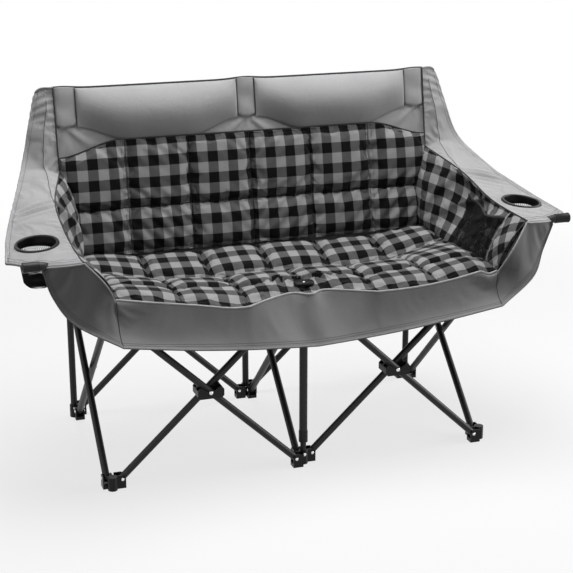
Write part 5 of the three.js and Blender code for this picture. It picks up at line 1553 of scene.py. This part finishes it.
# Cup holders: a moulded ring in each arm and a net pocket under it
cup = {
    "bore": 0.0480, "outer": 0.0562, "wall": 0.0022, "rise": 0.0014, "ring": 0.016, "deep": 0.100, "taper": 0.015,
    "meshes": 56, "rows": 17, "thread": 0.0021, "skirt": 0.005, "proud": 0.0030, "toe": 0.010, "toeFrom": 0.86,
    "netLap": 0.001, "baseIn": 0.004, "baseSkin": (0.004, 0.001), "flangeLow": -0.0045, "bound": 0.010,
    "boundIn": 0.0005, "boundOut": (0.0012, 0.0014),
}
# the rim's rounded flange, down its outside and over to the bore, and the net's solid bottom
flangeOuter = [(0.0, -0.0042), (0.0004, -0.0025)]
flangeTop = [(-0.0007, -0.0009), (-0.0018, 0.0)]
boreTop = [(0.0018, 0.0), (0.0009, -0.0006), (0.0002, -0.0016), (0.0, -0.0030)]
netBottom = [(-0.014, -0.0035), (-0.004, -0.001), (0.0, 0.006), (0.0016, 0.016), (0.0006, 0.0165), (-0.0012, 0.006),
             (-0.006, 0.0015)]


def makeCup(side):
    centre = shell["cup"] * np.array([sides[side], 1, 1])
    body = f"arm_rest_{side}"
    top, bore, outer = cup["rise"], cup["bore"], cup["outer"]
    wide = bore + cup["wall"]
    skirt = -cup["ring"] - cup["skirt"]
    profile = [(bore, skirt), (wide, skirt), (wide, cup["flangeLow"])]
    profile += [(outer + out, height) for out, height in flangeOuter]
    profile += [(outer + out, top + height) for out, height in flangeTop]
    profile += [(bore + out, top + height) for out, height in boreTop]
    profile.append((bore, skirt))
    # the ring lies on the cloth as it slopes
    slopeX, slopeY, height = cupLie[side]
    ringPlace = (centre[0], centre[1], height + cup["proud"])
    ring = latheObject(f"cup_rim_{side}", profile, ringPlace, (-slopeX, -slopeY, 1), 64, plasticBlack)
    carry(ring, body, [f"cup_ring_{side}"])
    # net: a diamond mesh with a bound edge at the top and a solid bottom
    rows, count = cup["rows"], cup["meshes"]
    points = []
    high = -cup["ring"] + cup["netLap"]
    for r in range(rows + 1):
        t = r / rows
        toe = cup["toe"] * smoothStep((t - cup["toeFrom"]) / (1 - cup["toeFrom"])) ** 2
        radius = wide - cup["taper"] * t - toe
        for c in range(count):
            turn = 2 * math.pi * (c + 0.5 * (r % 2)) / count
            place = np.array([radius * math.cos(turn), radius * math.sin(turn), high - cup["deep"] * t])
            points.append(centre + place)
    pocket = netObject(f"cup_net_{side}", points, netFaces(rows, count, True), cup["thread"])
    carry(pocket, body, [f"cup_pocket_{side}"])
    low = high - cup["deep"] * (rows - 1) / rows
    base = wide - cup["taper"] - cup["baseIn"]
    under, over = cup["baseSkin"]
    bottom = [(0, low - under), *((base + out, low + rise) for out, rise in netBottom), (0, low - over)]
    inside, below = wide - cup["boundIn"], high - cup["bound"]
    outLow, outHigh = (wide + out for out in cup["boundOut"])
    bound = [(inside, below), (outLow, below), (outHigh, high), (inside, high), (inside, below)]
    for name, outline in {"cup_base": bottom, "cup_edge": bound}.items():
        carry(latheObject(f"{name}_{side}", outline, centre, (0, 0, 1), 48, netBlack), body)


for side in sides:
    makeCup(side)
print("cup holders set")

# Knob over the front post: an oval grip on a round stem, with a rivet in its middle
knob = {
    "halfWide": 0.0285, "halfDeep": 0.0175, "stem": 0.0135, "foot": 0.0005, "under": 0.019, "top": 0.031,
    "dish": 0.0022, "square": 0.8, "sides": 48, "rivet": (0.0036, 0.0012),
}


def makeKnob():
    foot, under, top, dish = knob["foot"], knob["under"], knob["top"], knob["dish"]
    # share of the grip's size, share of the round stem, and height
    stages = [(0.0, 0.0, foot), (0.47, 1.0, foot), (0.47, 1.0, under - 0.004), (0.80, 0.55, under - 0.001),
              (0.95, 0.2, under + 0.002), (1.0, 0.0, under + 0.006), (0.97, 0.0, top - 0.003),
              (0.90, 0.0, top - 0.0008), (0.80, 0.0, top), (0.55, 0.0, top - dish * 0.4), (0.30, 0.0, top - dish),
              (0.0, 0.0, top - dish)]
    turn = np.linspace(0, 2 * np.pi, knob["sides"] + 1)
    across = np.sign(np.cos(turn)) * np.abs(np.cos(turn)) ** knob["square"]
    deep = np.sign(np.sin(turn)) * np.abs(np.sin(turn)) ** knob["square"]
    rings = []
    for size, roundness, height in stages:
        wideX = lerp(knob["halfWide"] * size, knob["stem"], roundness) if size else 0
        wideY = lerp(knob["halfDeep"] * size, knob["stem"], roundness) if size else 0
        rings.append(np.stack([wideX * across, frontY + wideY * deep, 0 * turn + hubFace + height], axis=1))
    grid = np.array(rings)
    index = np.arange(len(stages) * len(turn)).reshape(len(stages), len(turn))
    quads = gridQuads(index).reshape(-1, 4).tolist()
    piece = hardObject("knob_grip", grid.reshape(-1, 3), quads, plasticBlack, 40)
    carry(piece, "hub_front_center", ["seat_knob"])


makeKnob()

# Moulded feet, hubs, sliders and brackets keep the frame's shape, with softened edges
moulded = {"weld": 0.00005, "flat": 2.0, "edge": 0.0011, "steps": 2, "corner": 28.0}
mouldedStarts = ("foot_", "hub_", "slider_", "bracket_", "front_post_collar")


def softenMoulded():
    done = 0
    for node, piece in frame["nodes"].items():
        if not node.startswith(mouldedStarts):
            continue
        piece.data.materials.clear()
        piece.data.materials.append(plasticBlack)
        weld = piece.modifiers.new("weld", "WELD")
        weld.merge_threshold = moulded["weld"]
        plain = piece.modifiers.new("plain", "DECIMATE")
        plain.decimate_type = "DISSOLVE"
        plain.angle_limit = math.radians(moulded["flat"])
        edge = piece.modifiers.new("edge", "BEVEL")
        edge.width = moulded["edge"]
        edge.segments = moulded["steps"]
        edge.limit_method = "ANGLE"
        edge.angle_limit = math.radians(moulded["corner"])
        edge.harden_normals = True
        done += 1
    print("moulded pieces softened:", done)


softenMoulded()

# Rivets through every pivot, one set for each body
rivet = {
    "ear": 0.0131, "across": 0.0135, "foreAft": 0.0105, "bracket": 0.0264, "side": 0.0200, "postRise": 0.004,
    "radius": 0.0047, "height": 0.0024, "bracketRadius": 0.0058, "armOut": 0.024, "armForward": 0.003,
    "armHalf": 0.0146, "armRise": 0.010,
}


def pivotRivets(column, row, low):
    # the heads on both ears of each tube end at a foot or a hub
    x, y = columnX[column], rowY[row]
    z = footPivot if low else hubPivot
    lowSide = 1 if low else -1
    spots = []
    ends = []
    if column != "right":
        ends.append((1, lowSide * rivet["across"]))
    if column != "left":
        ends.append((-1, -lowSide * rivet["across"]))
    for way, plane in ends:
        for out in (-1, 1):
            spots.append(((x + way * pivotInset, y + plane + out * rivet["ear"], z), (0, out, 0)))
    inward = 1 if row == "front" else -1
    plane = -lowSide * inward * rivet["foreAft"]
    for out in (-1, 1):
        spots.append(((x + plane + out * rivet["ear"], y + inward * pivotInset, z), (out, 0, 0)))
    return spots


def rivetBodies():
    spots = {}
    for column in columnX:
        for row in rowY:
            footBody = f"rear_{column}_post" if row == "rear" else f"foot_front_{column}"
            hubBody = f"slider_rear_{column}" if row == "rear" else f"hub_front_{column}"
            spots.setdefault(footBody, []).extend(pivotRivets(column, row, True))
            spots.setdefault(hubBody, []).extend(pivotRivets(column, row, False))
            if row == "rear" or column == "center":
                for out in (-1, 1):
                    place = (columnX[column], rowY[row] + out * rivet["ear"], footPivot + rivet["postRise"])
                    spots[footBody].append((place, (0, out, 0)))
        for out in (-1, 1):
            crossing = (columnX[column] + out * rivet["side"], midY, (footPivot + hubPivot) / 2)
            spots.setdefault(f"tube_side_{column}_rear_foot", []).append((crossing, (out, 0, 0)))
    for side, way in sides.items():
        for out in (-1, 1):
            place = (way * (bay + rivet["armOut"]), frontY - rivet["armForward"] + out * rivet["armHalf"],
                     hubPivot + rivet["armRise"])
            spots[f"hub_front_{side}"].append((place, (0, out, 0)))
    return spots


def rivetObject(name, spots, radius, height):
    mesh = bpy.data.meshes.new("spots")
    mesh.from_pydata([place for place, _ in spots], [], [])
    toward = mesh.attributes.new("facing", "FLOAT_VECTOR", "POINT")
    toward.data.foreach_set("vector", np.array([way for _, way in spots], np.float32).ravel())
    values = {"Radius": radius, "Height": height, "Metal": rivetSteel}
    return runTree(addObject("spots", mesh), name, trees["rivet"], values)


def makeRivets():
    for body, spots in rivetBodies().items():
        piece = rivetObject(f"rivets_{body}", spots, rivet["radius"], rivet["height"])
        carry(piece, body)
    for row in rowY:
        for side, way in sides.items():
            body = f"tube_{row}_{side}_falling"
            spots = [((way * bay / 2, rowY[row] + out * rivet["bracket"], (footPivot + hubPivot) / 2), (0, out, 0))
                     for out in (-1, 1)]
            carry(rivetObject(f"rivets_bracket_{row}_{side}", spots, rivet["bracketRadius"], rivet["height"]), body)
    spot = [((0, frontY, hubFace + knob["top"] - knob["dish"]), (0, 0, 1))]
    carry(rivetObject("rivet_knob", spot, *knob["rivet"]), "hub_front_center")
    print("rivets set")


makeRivets()


# Camera and light
camera = {"place": (-1.198, midY - 3.634, 1.633), "turn": 18.84, "tilt": 17.55, "lens": 90.3}


def makeCamera():
    data = bpy.data.cameras.new("camera")
    data.lens = camera["lens"]
    data.sensor_width = 36.0
    data.clip_end = 60.0
    eye = addObject("camera", data)
    turn, tilt = math.radians(camera["turn"]), math.radians(camera["tilt"])
    look = Vector((math.sin(turn) * math.cos(tilt), math.cos(turn) * math.cos(tilt), -math.sin(tilt)))
    eye.location = camera["place"]
    eye.rotation_euler = look.to_track_quat("-Z", "Y").to_euler()
    scene.camera = eye


lamps = {
    "topSoft": {"place": (0.1, 0.05, 3.1), "aim": (0.0, 0.0, 0.5), "size": (2.6, 1.9), "power": 88},
    "rightSoft": {"place": (3.4, -0.8, 1.2), "aim": (0.0, 0.0, 0.5), "size": (1.6, 1.4), "power": 52},
    "leftSoft": {"place": (-3.0, -1.5, 1.4), "aim": (0.0, 0.0, 0.6), "size": (1.8, 1.4), "power": 11},
}


def makeLamps():
    for name, lamp in lamps.items():
        data = bpy.data.lights.new(name, "AREA")
        data.shape = "RECTANGLE"
        data.size, data.size_y = lamp["size"]
        data.energy = lamp["power"]
        soft = addObject(name, data)
        soft.location = lamp["place"]
        soft.rotation_euler = (Vector(lamp["aim"]) - soft.location).to_track_quat("-Z", "Y").to_euler()


stage = {"reach": 7.0, "seen": 0.90, "bounce": 0.11, "glow": 0.74, "fadeFrom": 1.2, "fadeTo": 3.0, "ambient": 0.045,
         "below": 0.0005}


def looking(tree):
    # 1 for rays that see the backdrop, straight or in a reflection, and 0 for those that light the object
    path = tree.nodes.new("ShaderNodeLightPath")
    seen = mathNode(tree, "MAXIMUM", path.outputs["Is Camera Ray"], path.outputs["Is Glossy Ray"])
    return mathNode(tree, "MAXIMUM", seen, path.outputs["Is Transmission Ray"])


def makeStage():
    mesh = bpy.data.meshes.new("floor")
    reach = stage["reach"]
    mesh.from_pydata([(-reach, -reach, 0), (reach, -reach, 0), (reach, reach, 0), (-reach, reach, 0)], [],
                     [(0, 1, 2, 3)])
    floor = addObject("floor", mesh)
    floor.location.z = -stage["below"]
    material, tree, shader = startMaterial("floorPale", {"Roughness": 0.9})
    output = next(n for n in tree.nodes if n.type == "OUTPUT_MATERIAL")
    looked = looking(tree)
    shade = mixColour(tree, looked, grey(stage["bounce"]), grey(stage["seen"]))
    feed(tree, shader.inputs["Base Color"], shade)
    glow = addNode(tree, "ShaderNodeEmission", {"Color": (1, 1, 1, 1), "Strength": 1.0})
    # far from the object the floor fades into the white backdrop
    place = addNode(tree, "ShaderNodeTexCoord").outputs["Object"]
    away = addNode(tree, "ShaderNodeVectorMath", {0: place}, operation="LENGTH").outputs["Value"]
    fade = addNode(tree, "ShaderNodeMapRange", {
        "Value": away, "From Min": stage["fadeFrom"], "From Max": stage["fadeTo"], "To Min": stage["glow"],
        "To Max": 1.0}, interpolation_type="SMOOTHSTEP").outputs["Result"]
    share = mathNode(tree, "MULTIPLY", looked, fade)
    mixed = addNode(tree, "ShaderNodeMixShader", {0: share, 1: shader.outputs["BSDF"], 2: glow.outputs["Emission"]})
    tree.links.new(mixed.outputs["Shader"], output.inputs["Surface"])
    mesh.materials.append(material)
    world = bpy.data.worlds.new("world")
    world.use_nodes = True
    scene.world = world
    sky = world.node_tree
    sky.nodes.clear()
    strength = spread(sky, looking(sky), stage["ambient"], 1.0)
    glow = addNode(sky, "ShaderNodeBackground", {"Color": (1, 1, 1, 1), "Strength": strength})
    addNode(sky, "ShaderNodeOutputWorld", {"Surface": glow.outputs["Background"]})
    scene.view_settings.view_transform = "Standard"


makeCamera()
makeStage()
makeLamps()
print("camera and light ready")
